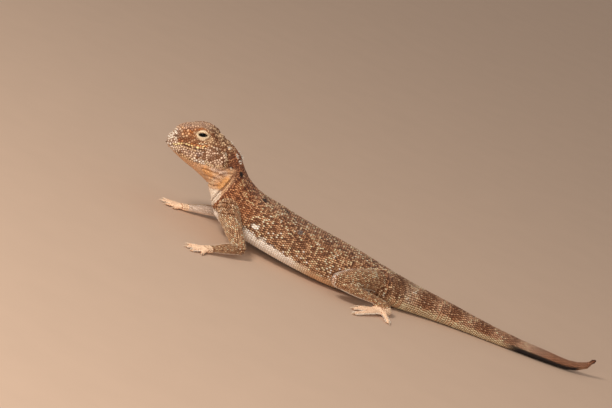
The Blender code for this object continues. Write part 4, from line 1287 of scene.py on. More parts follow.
class Unwrap:
    """Place of each point on an unrolled strip for its node, for the baked colours."""

    def __init__(self, nodes: Sequence[Piece]) -> None:
        self.frames = []
        for node in nodes:
            places = vertices_of(node)
            middle = places.mean(0)
            _, _, axes = np.linalg.svd(places - middle, full_matrices=False)
            reach = np.abs((places - middle) @ axes[0]).max()
            self.frames.append((middle, axes, reach))

    def at(self, points: Points, owners: Points, strips: Sequence[int]) -> Points:
        """Map places of points.

        Args:
            points: Places on the skin.
            owners: Node number of each.
            strips: Node numbers that share the map, one strip each.

        Returns:
            Two columns between 0 and 1.
        """
        result = np.zeros((len(points), 2))
        for slot, number in enumerate(strips):
            chosen = owners == number
            middle, axes, reach = self.frames[number]
            local = (points[chosen] - middle) @ axes.T
            along = np.clip(0.5 + 0.5 * local[:, 0] / reach, 0.0, 1.0)
            turn = 0.5 + np.arctan2(local[:, 2], local[:, 1]) / (2.0 * math.pi)
            result[chosen, 0] = 0.01 + 0.98 * turn
            result[chosen, 1] = (slot + 0.03 + 0.94 * along) / len(strips)
        return result


@dataclass
class Coat:
    """Scales of one piece, joined into one mesh."""

    name: str
    beds: list[Bed]
    strips: list[int]
    warmth: Triple = (1.0, 1.22, 1.38)
    darkest: float = 0.20
    patch: float = 0.003
    limit: int = 200_000

    def build(self, unwrap: Unwrap) -> Piece:
        """Make the joined mesh with its colours and its bake map.

        Args:
            unwrap: Map of the skin's own shape.

        Returns:
            The coat piece.
        """
        blocks, faces, colours, maps = [], [], [], []
        start = 0
        for bed in self.beds:
            template = bed.shape.value
            shape = np.array(template.points)
            light = np.array(template.light)
            across = unit(np.cross(bed.along, bed.normals))
            local = shape[None] * np.stack((bed.width, bed.length, bed.height), axis=1)[:, None, :]
            if bed.radii is not None:
                corners = np.arange(len(shape) - 1) % bed.radii.shape[1]
                local[:, :-1, :2] *= bed.radii[:, corners, None]
            axes = np.stack((across, bed.along, bed.normals), axis=1)
            points = bed.places[:, None, :] + np.einsum("nkc,ncd->nkd", local, axes)
            blocks.append(points.reshape(-1, 3))
            # Painted shade and painted highlight: each point's lightness darkens the scale's root and
            # lightens its crest, warmer where darker.
            shade = np.maximum(1.0 + bed.contrast[:, None] * (light[None] - 1.0), self.darkest)
            colours.append((bed.tints[:, None, :] * shade[..., None] ** self.warmth).reshape(-1, 3))
            roots = unwrap.at(bed.places, bed.owners, self.strips)
            maps.append((roots[:, None, :] + self.patch * shape[None, :, :2]).reshape(-1, 2))
            size = len(shape)
            for face in template.faces:
                corners = np.array(face)[None] + start + size * np.arange(len(bed.places))[:, None]
                faces += corners.tolist()
            start += size * len(bed.places)
        piece = make_mesh(self.name, np.vstack(blocks), faces)
        paint(piece, np.vstack(colours))
        loops = np.zeros(len(piece.data.loops), np.int32)
        piece.data.loops.foreach_get("vertex_index", loops)
        layer = piece.data.uv_layers.new(name="OFBake")
        layer.data.foreach_set("uv", np.vstack(maps)[loops].astype(np.float32).ravel())
        triangles = sum(len(face) - 2 for face in faces)
        if triangles > self.limit:
            raise ValueError(f"{self.name} has {triangles} triangles")
        LOG.info("%s: %d triangles", self.name, triangles)
        return piece


@dataclass
class ScaleLayer:
    """Lays rows of scales along the body and limbs and fills the rest with granules."""

    skin: Surface
    names: list[str]
    nodes: dict[str, Piece]
    line: BodyLine
    head: HeadFrame
    row_step: float = 0.86
    tail_root: float = 6.0
    bend_reach: float = 3.0
    plate_step: float = 0.55
    samples: int = 120
    max_gap: float = 0.75
    flesh: Surface = field(init=False)

    def __post_init__(self) -> None:
        """Make one search tree over every flesh node."""
        self.flesh = Surface([self.nodes[name] for name in self.names])

    def row(
        self, centre: Points, side: Points, up: Points, heading: Points, surface: Surface,
        step: float, offset: float,
    ) -> tuple[Points, Points]:
        """Places evenly spread round one section, with the lie of the scales there."""
        angles = np.linspace(0.0, 2.0 * math.pi, self.samples, endpoint=False)
        hits = []
        for angle in angles:
            hit = surface.ray(centre, math.cos(angle) * side + math.sin(angle) * up)
            if hit is not None:
                hits.append(hit)
        if len(hits) < 12:
            return np.zeros((0, 3)), np.zeros((0, 3))
        loop = np.array(hits + hits[:1])
        marks = marks_along(loop)
        count = max(6, int(round(marks[-1] / step)))
        places = sample(loop, marks, (np.arange(count) + offset) / count * marks[-1])
        return places, np.broadcast_to(heading, places.shape)

    def snap(self, places: Points, lies: Points, owners: Sequence[str]) -> tuple[Points, ...]:
        """Move places onto the skin and drop those that another part of the body covers."""
        spots, normals, _, gaps = self.skin.nearest(places)
        wanted = [self.names.index(name) for name in owners]
        keep = (gaps < self.max_gap) & np.isin(self.owners(spots), wanted)
        return spots[keep], normals[keep], along_skin(lies, normals)[keep], keep

    def trunk_rows(self, dice: Dice) -> Bed:
        """Keeled scales in transverse rows from the shoulder fold to the tip of the tail."""
        members = ("torso", "tail_base", "tail_middle", "tail_tip")
        surface = Surface([self.nodes[name] for name in members])
        low, high = self.line.table[0, 0], self.line.table[-1, 0]
        places, lies, sizes = [], [], []
        x, number = low, 0
        while x < high:
            share = float(ease(20.0, 88.0, np.array(x)))
            step = self.row_step * (1.0 - 0.28 * share)
            side_offset, height, _, _ = self.line.at(x + self.bend_reach * np.array([-1.0, 0.0, 1.0]))
            heading = unit(np.array((2.0 * self.bend_reach, side_offset[2] - side_offset[0], 0.0)))
            tilt = math.radians(18.0) * float(ease(-43.0, -60.0, np.array(x)))
            up = np.array((math.sin(tilt), 0.0, math.cos(tilt)))
            side = unit(np.cross(up, heading))
            centre = np.array((x, side_offset[1], height[1]))
            target = self.skin if x > self.tail_root else surface
            found, lie = self.row(centre, side, up, heading, target, step, 0.5 * (number % 2))
            places.append(found)
            lies.append(lie)
            sizes.append(np.full(len(found), step))
            x += step
            number += 1
        spots, normals, along, keep = self.snap(np.vstack(places), np.vstack(lies), members)
        step = np.concatenate(sizes)[keep]
        owners = self.owners(spots)
        vary = 0.9 + 0.2 * dice.random(len(spots))
        return Bed(Shape.KEELED, spots, normals, along, 1.42 * step * vary, 1.08 * step * vary,
                   0.30 * step * vary, owners)

    def limb_rows(self, name: str, step: float, dice: Dice) -> Bed:
        """Keeled scales in rows across one length of a limb."""
        surface = Surface([self.nodes[name]])
        places = vertices_of(self.nodes[name])
        middle = places.mean(0)
        axis = np.linalg.svd(places - middle, full_matrices=False)[2][0]
        trunk_middle = vertices_of(self.nodes["torso"]).mean(0)
        shares = (places - middle) @ axis
        ends = middle + np.outer((shares.min(), shares.max()), axis)
        if np.linalg.norm(ends[0] - trunk_middle) > np.linalg.norm(ends[1] - trunk_middle):
            ends = ends[::-1]
        axis = unit(ends[1] - ends[0])
        side = unit(np.cross((0.0, 0.0, 1.0), axis))
        up = np.cross(axis, side)
        length = float(np.linalg.norm(ends[1] - ends[0]))
        rows, lies = [], []
        for number, distance in enumerate(np.arange(0.3, length - 0.2, step)):
            centre = ends[0] + distance * axis
            found, lie = self.row(centre, side, up, axis, surface, step, 0.5 * (number % 2))
            rows.append(found)
            lies.append(lie)
        spots, normals, along, _ = self.snap(np.vstack(rows), np.vstack(lies), (name,))
        owners = np.full(len(spots), self.names.index(name))
        vary = 0.88 + 0.24 * dice.random(len(spots))
        return Bed(Shape.KEELED, spots, normals, along, 1.36 * step * vary, 1.06 * step * vary,
                   0.28 * step * vary, owners)

    def digit_rows(self, paw: Paw, dice: Dice) -> Bed:
        """Small plates round every digit of a paw."""
        step = self.plate_step
        rows, lies = [], []
        for digit in paw.digits:
            side = np.array((-digit.direction[1], digit.direction[0], 0.0))
            for number, distance in enumerate(np.arange(0.5, digit.reach + 0.2, step)):
                centre, radius = digit.at(min(distance / digit.reach, 1.0))
                angles = 2.0 * math.pi * (np.arange(9) + 0.5 * (number % 2)) / 9.0
                spread = np.cos(angles)[:, None] * side + np.sin(angles)[:, None] * (0.0, 0.0, 0.92)
                ring = centre + radius * spread
                rows.append(ring)
                lies.append(np.broadcast_to(digit.direction, ring.shape))
        spots, normals, along, _ = self.snap(np.vstack(rows), np.vstack(lies), (paw.name,))
        owners = np.full(len(spots), self.names.index(paw.name))
        vary = 0.9 + 0.2 * dice.random(len(spots))
        return Bed(Shape.PLATE, spots, normals, along, 1.35 * step * vary, 1.15 * step * vary,
                   0.26 * step * vary, owners)

    def owners(self, points: Points) -> Points:
        """Number of the nearest flesh node for each place."""
        return self.flesh.nearest(points)[2]

    def spacing(self, points: Points, owners: Points, eyes: Sequence[EyeRegion]) -> Points:
        """Distance between granules at each place."""
        names = np.array(self.names)[owners]
        forward, side, up = self.head.local(points).T
        side = np.abs(side)
        on_head = names == "head"
        space = np.where(on_head, 0.94, 0.70)
        space = np.where(on_head & (up > 8.0), 0.98, space)
        space = np.where(on_head & (forward > 10.0), 0.88, space)
        flap = np.hypot((forward - FLAP_FORWARD) / 1.4, up) < 3.3
        space = np.where(on_head & flap & (side > 8.5), 0.76, space)
        throat = up < np.interp(forward, (-8.0, 4.6, 7.6, 11.2, 13.9), (-3.4, -3.4, -2.5, -1.1, 1.0))
        throat &= (forward > -13.0) & (points[:, 0] < -62.0)
        space = np.where(throat & ~np.char.endswith(names, "arm"), 0.50, space)
        space = np.where(paws_among(names), 0.52, space)
        for eye in eyes:
            local = (points - eye.centre) @ eye.axes.T
            radius = lengths_of(local)
            space = np.where((radius < 3.7) & (local[:, 2] > 0.0), 0.50, space)
            space = np.where((radius < 3.2) & (eye.almond(local) < 4.2) & (local[:, 2] > 0.0), 0.36, space)
        return space

    def scatter(self, places: Points, space: Points, dice: Dice) -> Points:
        """Numbers of places that keep their distance from one another."""
        cell = 1.0
        grid: dict[tuple[int, int, int], list[tuple[float, float, float, float]]] = {}
        cells = np.floor(places / cell).astype(int).tolist()
        rows = places.tolist()
        chosen = []
        for k in dice.permutation(len(places)).tolist():
            x, y, z = rows[k]
            cx, cy, cz = cells[k]
            near = [
                row for i in (cx - 1, cx, cx + 1) for j in (cy - 1, cy, cy + 1) for m in (cz - 1, cz, cz + 1)
                for row in grid.get((i, j, m), ())]
            if all(
                (px - x) ** 2 + (py - y) ** 2 + (pz - z) ** 2 >= (0.45 * (space[k] + room)) ** 2
                for px, py, pz, room in near
            ):
                grid.setdefault((cx, cy, cz), []).append((x, y, z, space[k]))
                chosen.append(k)
        return np.array(chosen)

    def relax(self, seeds: Points, places: Points, rounds: int = 3) -> Points:
        """Even the seeds out by moving each to the middle of the places nearest to it."""
        for _ in range(rounds):
            tree = grown_tree(seeds)
            nearest = np.array([tree.find(row)[1] for row in places.tolist()])
            count = np.bincount(nearest, minlength=len(seeds))
            middle = np.stack(
                [np.bincount(nearest, places[:, k], len(seeds)) for k in range(3)], axis=1)
            middle /= np.maximum(count, 1)[:, None]
            seeds = np.where((count > 0)[:, None], middle, seeds)
        return seeds

    def fit(self, seeds: Points, along: Points, normals: Points, others: Points, space: Points,
            gap: float = 0.97) -> Points:
        """Corner radii that let every granule fill the room between its neighbours."""
        every = np.vstack([seeds, others])
        tree = grown_tree(every)
        around = np.array([[hit[1] for hit in tree.find_n(row, 12)[1:]] for row in seeds.tolist()])
        offsets = every[around] - seeds[:, None, :]
        across = unit(np.cross(along, normals))
        outline = np.array(round_outline(8))
        corners = outline[None, :, :1] * across[:, None, :] + outline[None, :, 1:] * along[:, None, :]
        reach = np.einsum("ncd,nkd->nkc", offsets, corners)
        square = (offsets ** 2).sum(2)[:, None, :]
        limits = np.where(reach > 1e-3, 0.5 * square / np.maximum(reach, 1e-3), 9.0)
        return gap * np.minimum(limits.min(2), 0.88 * space[:, None])

    def fill(
        self, piece: Piece, laid: Points, eyes: Sequence[EyeRegion],
        keep_out: Callable[[Points], Points], dice: Dice,
    ) -> Bed:
        """Granules wherever no row has laid a scale.

        Args:
            piece: The skin.
            laid: Places of the scales that are there already.
            eyes: Both eye regions.
            keep_out: Function that marks the places that stay bare.
            dice: Source of the random draw.

        Returns:
            Bed of granules.
        """
        places = vertices_of(piece)
        places = places[(places[:, 2] > 0.10) & (gaps_to(laid, places) > 0.56) & ~keep_out(places)]
        space = self.spacing(places, self.owners(places), eyes)
        seeds = self.relax(places[self.scatter(places, space, dice)], places)
        seeds, normals, _, _ = self.skin.nearest(seeds)
        owners = self.owners(seeds)
        space = self.spacing(seeds, owners, eyes)
        lie = np.broadcast_to(-self.head.axes[0], seeds.shape)
        along = along_skin(lie, normals)
        radii = self.fit(seeds, along, normals, laid, space)
        ones = np.ones(len(seeds))
        height = (0.36 + 0.12 * dice.random(len(seeds))) * radii.mean(1) * 1.15
        crown = self.head.local(seeds)[:, 2] > 8.2
        height = np.where(crown & (owners == self.names.index("head")), 0.75 * height, height)
        return Bed(Shape.CELL, seeds, normals, along, ones, ones, height, owners, radii)

    def beads(self, path: Points, pitch: float, wide: float, high: float, dice: Dice) -> Bed:
        """Uneven row of plates along a path on the skin.

        Args:
            path: Places along the row.
            pitch: Usual distance between plates.
            wide: Usual width of a plate.
            high: Usual height of a plate.
            dice: Source of the random draw.

        Returns:
            Bed of plates.
        """
        marks = marks_along(path)
        steps = pitch * (0.70 + 0.60 * dice.random(int(1.5 * marks[-1] / pitch)))
        spots = np.cumsum(steps) - 0.5 * steps
        spots = spots[spots < marks[-1]]
        steps = steps[:len(spots)]
        places = sample(path, marks, spots)
        lie = np.gradient(places, axis=0)
        _, normals, _, _ = self.skin.nearest(places)
        across = unit(np.cross(lie, normals))
        places += 0.28 * wide * (dice.random(len(places)) - 0.5)[:, None] * across
        places, normals, _, _ = self.skin.nearest(places)
        along = along_skin(lie, normals)
        vary = 0.78 + 0.40 * dice.random((len(places), 2))
        head = np.full(len(places), self.names.index("head"))
        return Bed(Shape.CELL, places, normals, along, 0.53 * steps, 0.5 * wide * vary[:, 0],
                   high * vary[:, 1], head, grain=0.6)


@dataclass
class SpineSet:
    """Growing set of slightly bowed spines that make one piece."""

    name: str
    slot: str
    flat: float = 0.7
    bow: float = 0.16
    sides: int = 6
    stations: Triples = (
        (-0.25, 1.0, 0.55), (0.12, 0.95, 0.80), (0.45, 0.66, 0.98), (0.78, 0.32, 1.08), (1.0, 0.05, 1.15),
    )
    points: list[Points] = field(default_factory=list)
    faces: Faces = field(default_factory=list)
    colours: list[Points] = field(default_factory=list)

    def add(self, root: Points, tip: Points, bend: Points, radius: float, tint: Points) -> None:
        """Add one spine.

        Args:
            root: Its root on the skin.
            tip: Its tip.
            bend: Direction towards which it bows.
            radius: Radius at the root.
            tint: Its colour.
        """
        line = tip - root
        heading = unit(line)
        side = unit(np.cross(heading, bend))
        up = np.cross(side, heading)
        start = len(self.points)
        bow = self.bow * np.linalg.norm(line)
        for share, size, shade in self.stations:
            centre = root + share * line + bow * math.sin(math.pi * max(share, 0.0)) * up
            for angle in 2.0 * math.pi * np.arange(self.sides) / self.sides:
                self.points.append(
                    centre + size * radius * (math.cos(angle) * side + self.flat * math.sin(angle) * up))
                self.colours.append(tint * shade)
        last = start + (len(self.stations) - 1) * self.sides
        self.faces += ring_walls(len(self.stations), self.sides, start)
        self.faces.append(tuple(start + k for k in reversed(range(self.sides))))
        self.faces.append(tuple(last + k for k in range(self.sides)))

    def build(self, finish: bpy.types.Material) -> None:
        """Join the spines into one dressed piece."""
        piece = make_mesh(self.name, np.array(self.points), self.faces)
        paint(piece, np.array(self.colours))
        piece.data.materials.append(finish)
        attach(piece, BODY)


@dataclass
class Armour:
    """Spines of the nape, fringes of the cheek flaps and toes, and combs of the lids."""

    head: HeadFrame
    skin: Surface
    eyes: list[EyeRegion]
    paws: list[Paw]
    dice: Dice
    clusters: Triples = (
        (-68.2, -4.9, 31.8), (-69.3, -8.3, 29.4), (-64.3, -4.0, 30.5), (-62.7, -3.7, 28.6),
        (-65.0, -7.9, 25.4),
    )
    flap_reach: tuple[float, float] = (4.6, 3.2)
    flap_side: float = 10.4

    def cream(self, low: float = 0.75) -> Points:
        """Cream with a random lightness."""
        return Tone.CREAM.rgb * (low + (1.15 - low) * self.dice.random())

    def nape(self) -> SpineSet:
        """Clusters of short spines behind the head and on the sides of the neck."""
        made = SpineSet("nape_spines", "head_skin", 0.85)
        places = np.array([(x, MIDDLE_Y + s * y, z) for s in (1.0, -1.0) for x, y, z in self.clusters])
        centres, normals, _, _ = self.skin.nearest(places)
        back = -self.head.axes[0]
        for centre, normal in zip(centres, normals):
            side = unit(np.cross(normal, back))
            ahead = np.cross(side, normal)
            for k in range(7):
                reach = 0.0 if k == 0 else 0.50 + 0.26 * self.dice.random()
                turn = 2.0 * math.pi * k / 6.0 + 0.6 * self.dice.random()
                spread = math.cos(turn) * side + math.sin(turn) * ahead
                root = centre + reach * spread
                aim = unit(normal + 1.1 * reach * spread + 0.50 * back)
                length = (0.95 if k == 0 else 0.66) * (0.75 + 0.5 * self.dice.random())
                tint = Tone.WHITE.rgb * (0.42 + 0.58 * self.dice.random())
                made.add(root - 0.15 * normal, root + length * aim, normal, 0.25, tint)
        return made

    def flap_fringe(self) -> SpineSet:
        """Flat pointed scales on the rear and lower rims of the cheek flaps."""
        made = SpineSet("flap_fringe", "head_skin", 0.5)
        tilt = FLAP_TILT
        turn = np.array(((math.cos(tilt), math.sin(tilt)), (-math.sin(tilt), math.cos(tilt))))
        for side in (-1.0, 1.0):
            for row, (grow, long) in enumerate(((1.0, 1.0), (0.88, 0.75))):
                for degrees in np.arange(118.0, 300.0, 8.5) + 4.0 * row:
                    angle = math.radians(degrees)
                    rim = np.array((math.cos(angle), math.sin(angle)))
                    spot = (rim * self.flap_reach * grow) @ turn + (FLAP_FORWARD, 0.0)
                    place = self.head.world(np.array((spot[0], side * self.flap_side, spot[1])))
                    root, normal, _, _ = (value[0] for value in self.skin.nearest(place[None]))
                    out = (rim / self.flap_reach) @ turn
                    aim = unit(np.array((out[0], 0.0, out[1])))
                    aim = unit(aim @ self.head.axes + 0.55 * normal)
                    length = long * (1.05 + 0.45 * self.dice.random())
                    length *= 0.7 + 0.3 * math.sin(angle - 0.9) ** 2
                    made.add(root - 0.2 * aim, root + length * aim, normal, 0.27, self.cream(0.6))
        return made

    def lid_combs(self) -> SpineSet:
        """Comb of small pointed scales along both margins of each lid."""
        made = SpineSet("lid_combs", "head_skin", 0.6)
        for eye in self.eyes:
            for upper, sign in ((True, 1.0), (False, -1.0)):
                shares = np.linspace(-0.90, 0.90, 15)
                rims = eye.rim(shares, upper, 1.10)
                for rim in rims:
                    out = unit(rim - eye.centre)
                    lift = sign * eye.axes[1]
                    tint = Tone.LID.rgb * (0.85 + 0.3 * self.dice.random())
                    made.add(rim - 0.25 * out, rim + 0.20 * out + 0.30 * lift, lift, 0.13, tint)
        return made

    def toe_fringes(self, paw: Paw) -> SpineSet:
        """Combs of long pointed scales along both edges of the long digits."""
        made = SpineSet(f"{paw.name}_fringe", "limb_skin", 0.45)
        rise = np.array((0.0, 0.0, 1.0))
        for digit in paw.digits:
            if not digit.fringed:
                continue
            across = np.array((-digit.direction[1], digit.direction[0], 0.0))
            for side in (-1.0, 1.0):
                for distance in np.arange(1.6, digit.reach - 0.1, 0.50):
                    centre, radius = digit.at(distance / digit.reach)
                    root = centre + side * 0.55 * radius * across
                    aim = unit(side * across + 0.42 * digit.direction - 0.16 * rise)
                    length = radius * 0.45 + 0.80 * (0.85 + 0.25 * self.dice.random())
                    tip = root + length * aim
                    tip[2] = max(tip[2], 0.12)
                    made.add(root, tip, rise, 0.22, Tone.WHITE.rgb * (0.8 + 0.25 * self.dice.random()))
        return made

    def build(self, finish: bpy.types.Material) -> None:
        """Build every set of spines."""
        sets = [self.nape(), self.flap_fringe(), self.lid_combs()]
        sets += [self.toe_fringes(paw) for paw in self.paws]
        for spines in sets:
            spines.build(finish)


class Recipe:
    """Nodes of one material, read by the place on the object."""

    def __init__(self, name: str) -> None:
        self.material = bpy.data.materials.new(name)
        self.material.use_nodes = True
        self.tree = self.material.node_tree
        self.sockets = self.tree.nodes["Principled BSDF"].inputs
        self.place = self.add("TexCoord").outputs["Object"]

    def add(self, kind: str, values: dict[str | int, object] | None = None) -> bpy.types.Node:
        """Add a node and set the values of its sockets."""
        node = self.tree.nodes.new(f"ShaderNode{kind}")
        for socket, value in (values or {}).items():
            node.inputs[socket].default_value = value
        return node

    def join(self, *links: tuple[bpy.types.NodeSocket, bpy.types.NodeSocket]) -> None:
        """Join pairs of sockets."""
        for source, target in links:
            self.tree.links.new(source, target)

    def gloss(self, roughness: float, specular: float) -> None:
        """Set the shader's even roughness and mirror strength."""
        self.sockets["Roughness"].default_value = roughness
        self.sockets["Specular IOR Level"].default_value = specular


@dataclass(frozen=True)
class HideFinish:
    """Dry scaled skin that takes its colour from the markings."""

    name: str
    roughness: float = 0.62
    grain_scale: float = 2600.0
    grain_depth: float = 0.30
    bump_strength: float = 0.25
    bump_height: float = 0.05
    specular: float = 0.35

    def material(self) -> bpy.types.Material:
        """Make the node material."""
        recipe = Recipe(self.name)
        tint = recipe.add("Attribute")
        tint.attribute_name = "tint"
        grain = recipe.add("TexNoise", {"Scale": self.grain_scale, "Detail": 3.0})
        light = recipe.add("MapRange", {
            "From Min": 0.3, "From Max": 0.7,
            "To Min": 1.0 - self.grain_depth, "To Max": 1.0 + self.grain_depth})
        shade = recipe.add("Mix")
        shade.data_type = "RGBA"
        shade.blend_type = "MULTIPLY"
        shade.inputs["Factor"].default_value = 1.0
        rough = recipe.add("MapRange", {"To Min": self.roughness - 0.10, "To Max": self.roughness + 0.12})
        bump = recipe.add("Bump", {"Strength": self.bump_strength, "Distance": self.bump_height * MM})
        recipe.gloss(self.roughness, self.specular)
        recipe.join(
            (recipe.place, grain.inputs["Vector"]),
            (grain.outputs["Fac"], light.inputs["Value"]),
            (tint.outputs["Color"], shade.inputs["A"]),
            (light.outputs["Result"], shade.inputs["B"]),
            (shade.outputs["Result"], recipe.sockets["Base Color"]),
            (grain.outputs["Fac"], rough.inputs["Value"]),
            (rough.outputs["Result"], recipe.sockets["Roughness"]),
            (grain.outputs["Fac"], bump.inputs["Height"]),
            (bump.outputs["Normal"], recipe.sockets["Normal"]),
        )
        return recipe.material


@dataclass(frozen=True)
class EyeFinish:
    """Wet dark eye with a deep brown iris round a wide pupil."""

    name: str
    centre: Triple
    outward: Triple
    rings: tuple[tuple[float, Triple], ...] = (
        (0.60, (0.012, 0.006, 0.004)), (0.80, (0.035, 0.016, 0.007)), (0.90, (0.001, 0.001, 0.001)))

    def material(self) -> bpy.types.Material:
        """Make the node material, which reads the place on the ball."""
        recipe = Recipe(self.name)
        offset = recipe.add("VectorMath", {1: tuple(value * MM for value in self.centre)})
        offset.operation = "SUBTRACT"
        aim = recipe.add("VectorMath")
        aim.operation = "NORMALIZE"
        facing = recipe.add("VectorMath", {1: self.outward})
        facing.operation = "DOT_PRODUCT"
        ramp = recipe.add("ValToRGB")
        stops = ramp.color_ramp.elements
        stops.new(0.5)
        for stop, (position, colour) in reversed(list(zip(stops, self.rings))):
            stop.position = position
            stop.color = (*colour, 1.0)
        recipe.gloss(0.08, 0.14)
        recipe.join(
            (recipe.place, offset.inputs[0]),
            (offset.outputs["Vector"], aim.inputs[0]),
            (aim.outputs["Vector"], facing.inputs[0]),
            (facing.outputs["Value"], ramp.inputs["Fac"]),
            (ramp.outputs["Color"], recipe.sockets["Base Color"]),
        )
        return recipe.material


@dataclass(frozen=True)
class PlainFinish:
    """Even surface with a soft cloud of lighter and darker places."""

    name: str
    colour: Triple
    roughness: float
    scale: float
    depth: float = 0.06

    def material(self) -> bpy.types.Material:
        """Make the node material."""
        recipe = Recipe(self.name)
        cloud = recipe.add("TexNoise", {"Scale": self.scale})
        ramp = recipe.add("ValToRGB")
        for element, sign in zip(ramp.color_ramp.elements, (-1.0, 1.0)):
            element.color = (*[value * (1.0 + sign * self.depth) for value in self.colour], 1.0)
        recipe.sockets["Roughness"].default_value = self.roughness
        recipe.join(
            (recipe.place, cloud.inputs["Vector"]),
            (cloud.outputs["Fac"], ramp.inputs["Fac"]),
            (ramp.outputs["Color"], recipe.sockets["Base Color"]),
        )
        return recipe.material


@dataclass
class Eyes:
    """Smooth eyeballs that stand for the solids' eyes."""

    regions: list[EyeRegion]
    segments: int = 48
    rings: int = 28

    def build(self) -> None:
        """Make both balls with their finish."""
        for region in self.regions:
            label = "right" if region.side > 0.0 else "left"
            work = bmesh.new()
            bmesh.ops.create_uvsphere(
                work, u_segments=self.segments, v_segments=self.rings, radius=region.ball_radius * MM)
            bmesh.ops.translate(work, verts=work.verts, vec=Vector(region.centre * MM))
            mesh = bpy.data.meshes.new(f"{label}_eyeball")
            work.to_mesh(mesh)
            work.free()
            mesh.shade_smooth()
            ball = into_scene(f"{label}_eyeball", mesh)
            finish = EyeFinish(f"{label}_eye_gloss", tuple(region.centre), tuple(region.axes[2]))
            mesh.materials.append(finish.material())
            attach(ball, BODY)
            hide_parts(f"{label}_eye")


@dataclass
class Claws:
    """Curved pale claws of one paw."""

    paw: Paw
    sides: int = 8
    rows: int = 7

    def build(self, finish: bpy.types.Material) -> None:
        """Make the claws of the paw as one mesh."""
        points, faces = [], []
        rise = np.array((0.0, 0.0, 1.0))
        angles = 2.0 * math.pi * np.arange(self.sides) / self.sides
        for digit in self.paw.digits:
            end = digit.end
            root = np.array((end[0], end[1], 0.62 * digit.radius)) - 0.5 * digit.direction
            reach = self.paw.claw_length + 0.5
            side = np.array((-digit.direction[1], digit.direction[0], 0.0))
            start = len(points)
            for share in np.linspace(0.0, 1.0, self.rows):
                arch = 0.42 * math.sin(math.pi * min(share * 0.95, 1.0)) * (1.0 - 0.25 * share)
                height = root[2] * (1.0 - share ** 1.4) + 0.14 * share ** 1.4 + arch
                centre = np.array((*(root + share * reach * digit.direction)[:2], height))
                size = self.paw.claw_radius * (1.0 - 0.94 * share ** 1.25)
                for angle in angles:
                    points.append(
                        centre + size * (0.72 * math.cos(angle) * side + math.sin(angle) * rise))
            faces += ring_walls(self.rows, self.sides, start, mirrored=True)
            faces.append(tuple(start + k for k in range(self.sides)))
            last = start + (self.rows - 1) * self.sides
            faces.append(tuple(last + k for k in reversed(range(self.sides))))
        piece = make_mesh(f"{self.paw.name}_claws", np.maximum(np.array(points), (-1e3, -1e3, 0.02)), faces)
        piece.data.materials.append(finish)
        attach(piece, BODY)


@dataclass(frozen=True)
class Lamp:
    """Round area light, in millimetres and watts."""

    name: str
    place: Triple
    aim: Triple
    size: float
    power: float
    colour: Triple
    mirrored: bool

    def hang(self) -> None:
        """Hang the lamp, turned to its aim."""
        data = bpy.data.lights.new(self.name, "AREA")
        data.shape = "DISK"
        data.size = self.size * MM
        data.energy = self.power
        data.color = self.colour
        holder = into_scene(self.name, data)
        holder.location = Vector(self.place) * MM
        direction = (Vector(self.aim) - Vector(self.place)).normalized()
        holder.rotation_euler = direction.to_track_quat("-Z", "Y").to_euler()
        holder.visible_glossy = self.mirrored


@dataclass
class Studio:
    """Pale floor, soft lights and the camera at the photograph's angle."""

    frame_width: float = 227.7
    elevation: float = math.radians(14.0)
    roll: float = math.radians(24.0)
    distance: float = 1100.0
    sensor: float = 36.0
    aim: Triple = (-34.08, 5.68, 22.03)
    floor_half: float = 9000.0
    floor_colour: Triple = (0.60, 0.425, 0.31)
    sky_colour: Triple = (0.95, 0.90, 0.86)
    sky_strength: float = 0.42
    key: Lamp = Lamp(
        "key", (-500.0, -500.0, 580.0), (-10.0, 0.0, 10.0), 210.0, 4.6, (1.0, 0.94, 0.86), True)
    fill: Lamp = Lamp(
        "fill", (-120.0, -900.0, 170.0), (-20.0, 0.0, 10.0), 620.0, 4.3, (1.0, 0.93, 0.86), False)

    def floor(self) -> None:
        """Lay the floor under the animal."""
        half = self.floor_half
        corners = np.array(((-half, -half, 0.0), (half, -half, 0.0), (half, half, 0.0), (-half, half, 0.0)))
        floor = make_mesh("floor", corners, [(0, 1, 2, 3)])
        finish = PlainFinish("pale_floor", self.floor_colour, 0.9, 60.0, 0.03)
        floor.data.materials.append(finish.material())

    def lights(self) -> None:
        """Hang both lamps under a pale sky."""
        self.key.hang()
        self.fill.hang()
        world = bpy.data.worlds.new("pale_sky")
        world.use_nodes = True
        background = world.node_tree.nodes["Background"]
        background.inputs["Color"].default_value = (*self.sky_colour, 1.0)
        background.inputs["Strength"].default_value = self.sky_strength
        bpy.context.scene.world = world
        bpy.context.scene.view_settings.view_transform = "Standard"

    def camera(self) -> None:
        """Stand the camera where the photographer was, turned as the picture is."""
        ahead = Vector((0.0, math.cos(self.elevation), -math.sin(self.elevation)))
        level = Vector((1.0, 0.0, 0.0))
        above = Vector((0.0, math.sin(self.elevation), math.cos(self.elevation)))
        right = math.cos(self.roll) * level + math.sin(self.roll) * above
        up = -math.sin(self.roll) * level + math.cos(self.roll) * above
        lens = bpy.data.cameras.new("camera")
        lens.sensor_width = self.sensor
        lens.lens = self.sensor * self.distance / self.frame_width
        lens.clip_end = 100.0
        holder = into_scene("camera", lens)
        turn = Matrix((right, up, -ahead)).transposed().to_4x4()
        place = (Vector(self.aim) - self.distance * ahead) * MM
        holder.matrix_world = Matrix.Translation(place) @ turn
        bpy.context.scene.camera = holder

    def build(self) -> None:
        """Set up the whole studio."""
        self.floor()
        self.lights()
        self.camera()


def both_sides(path: Triples) -> tuple[Triples, Triples]:
    """A path and its mirror image."""
    return path, tuple((x, 2.0 * MIDDLE_Y - y, z) for x, y, z in path)


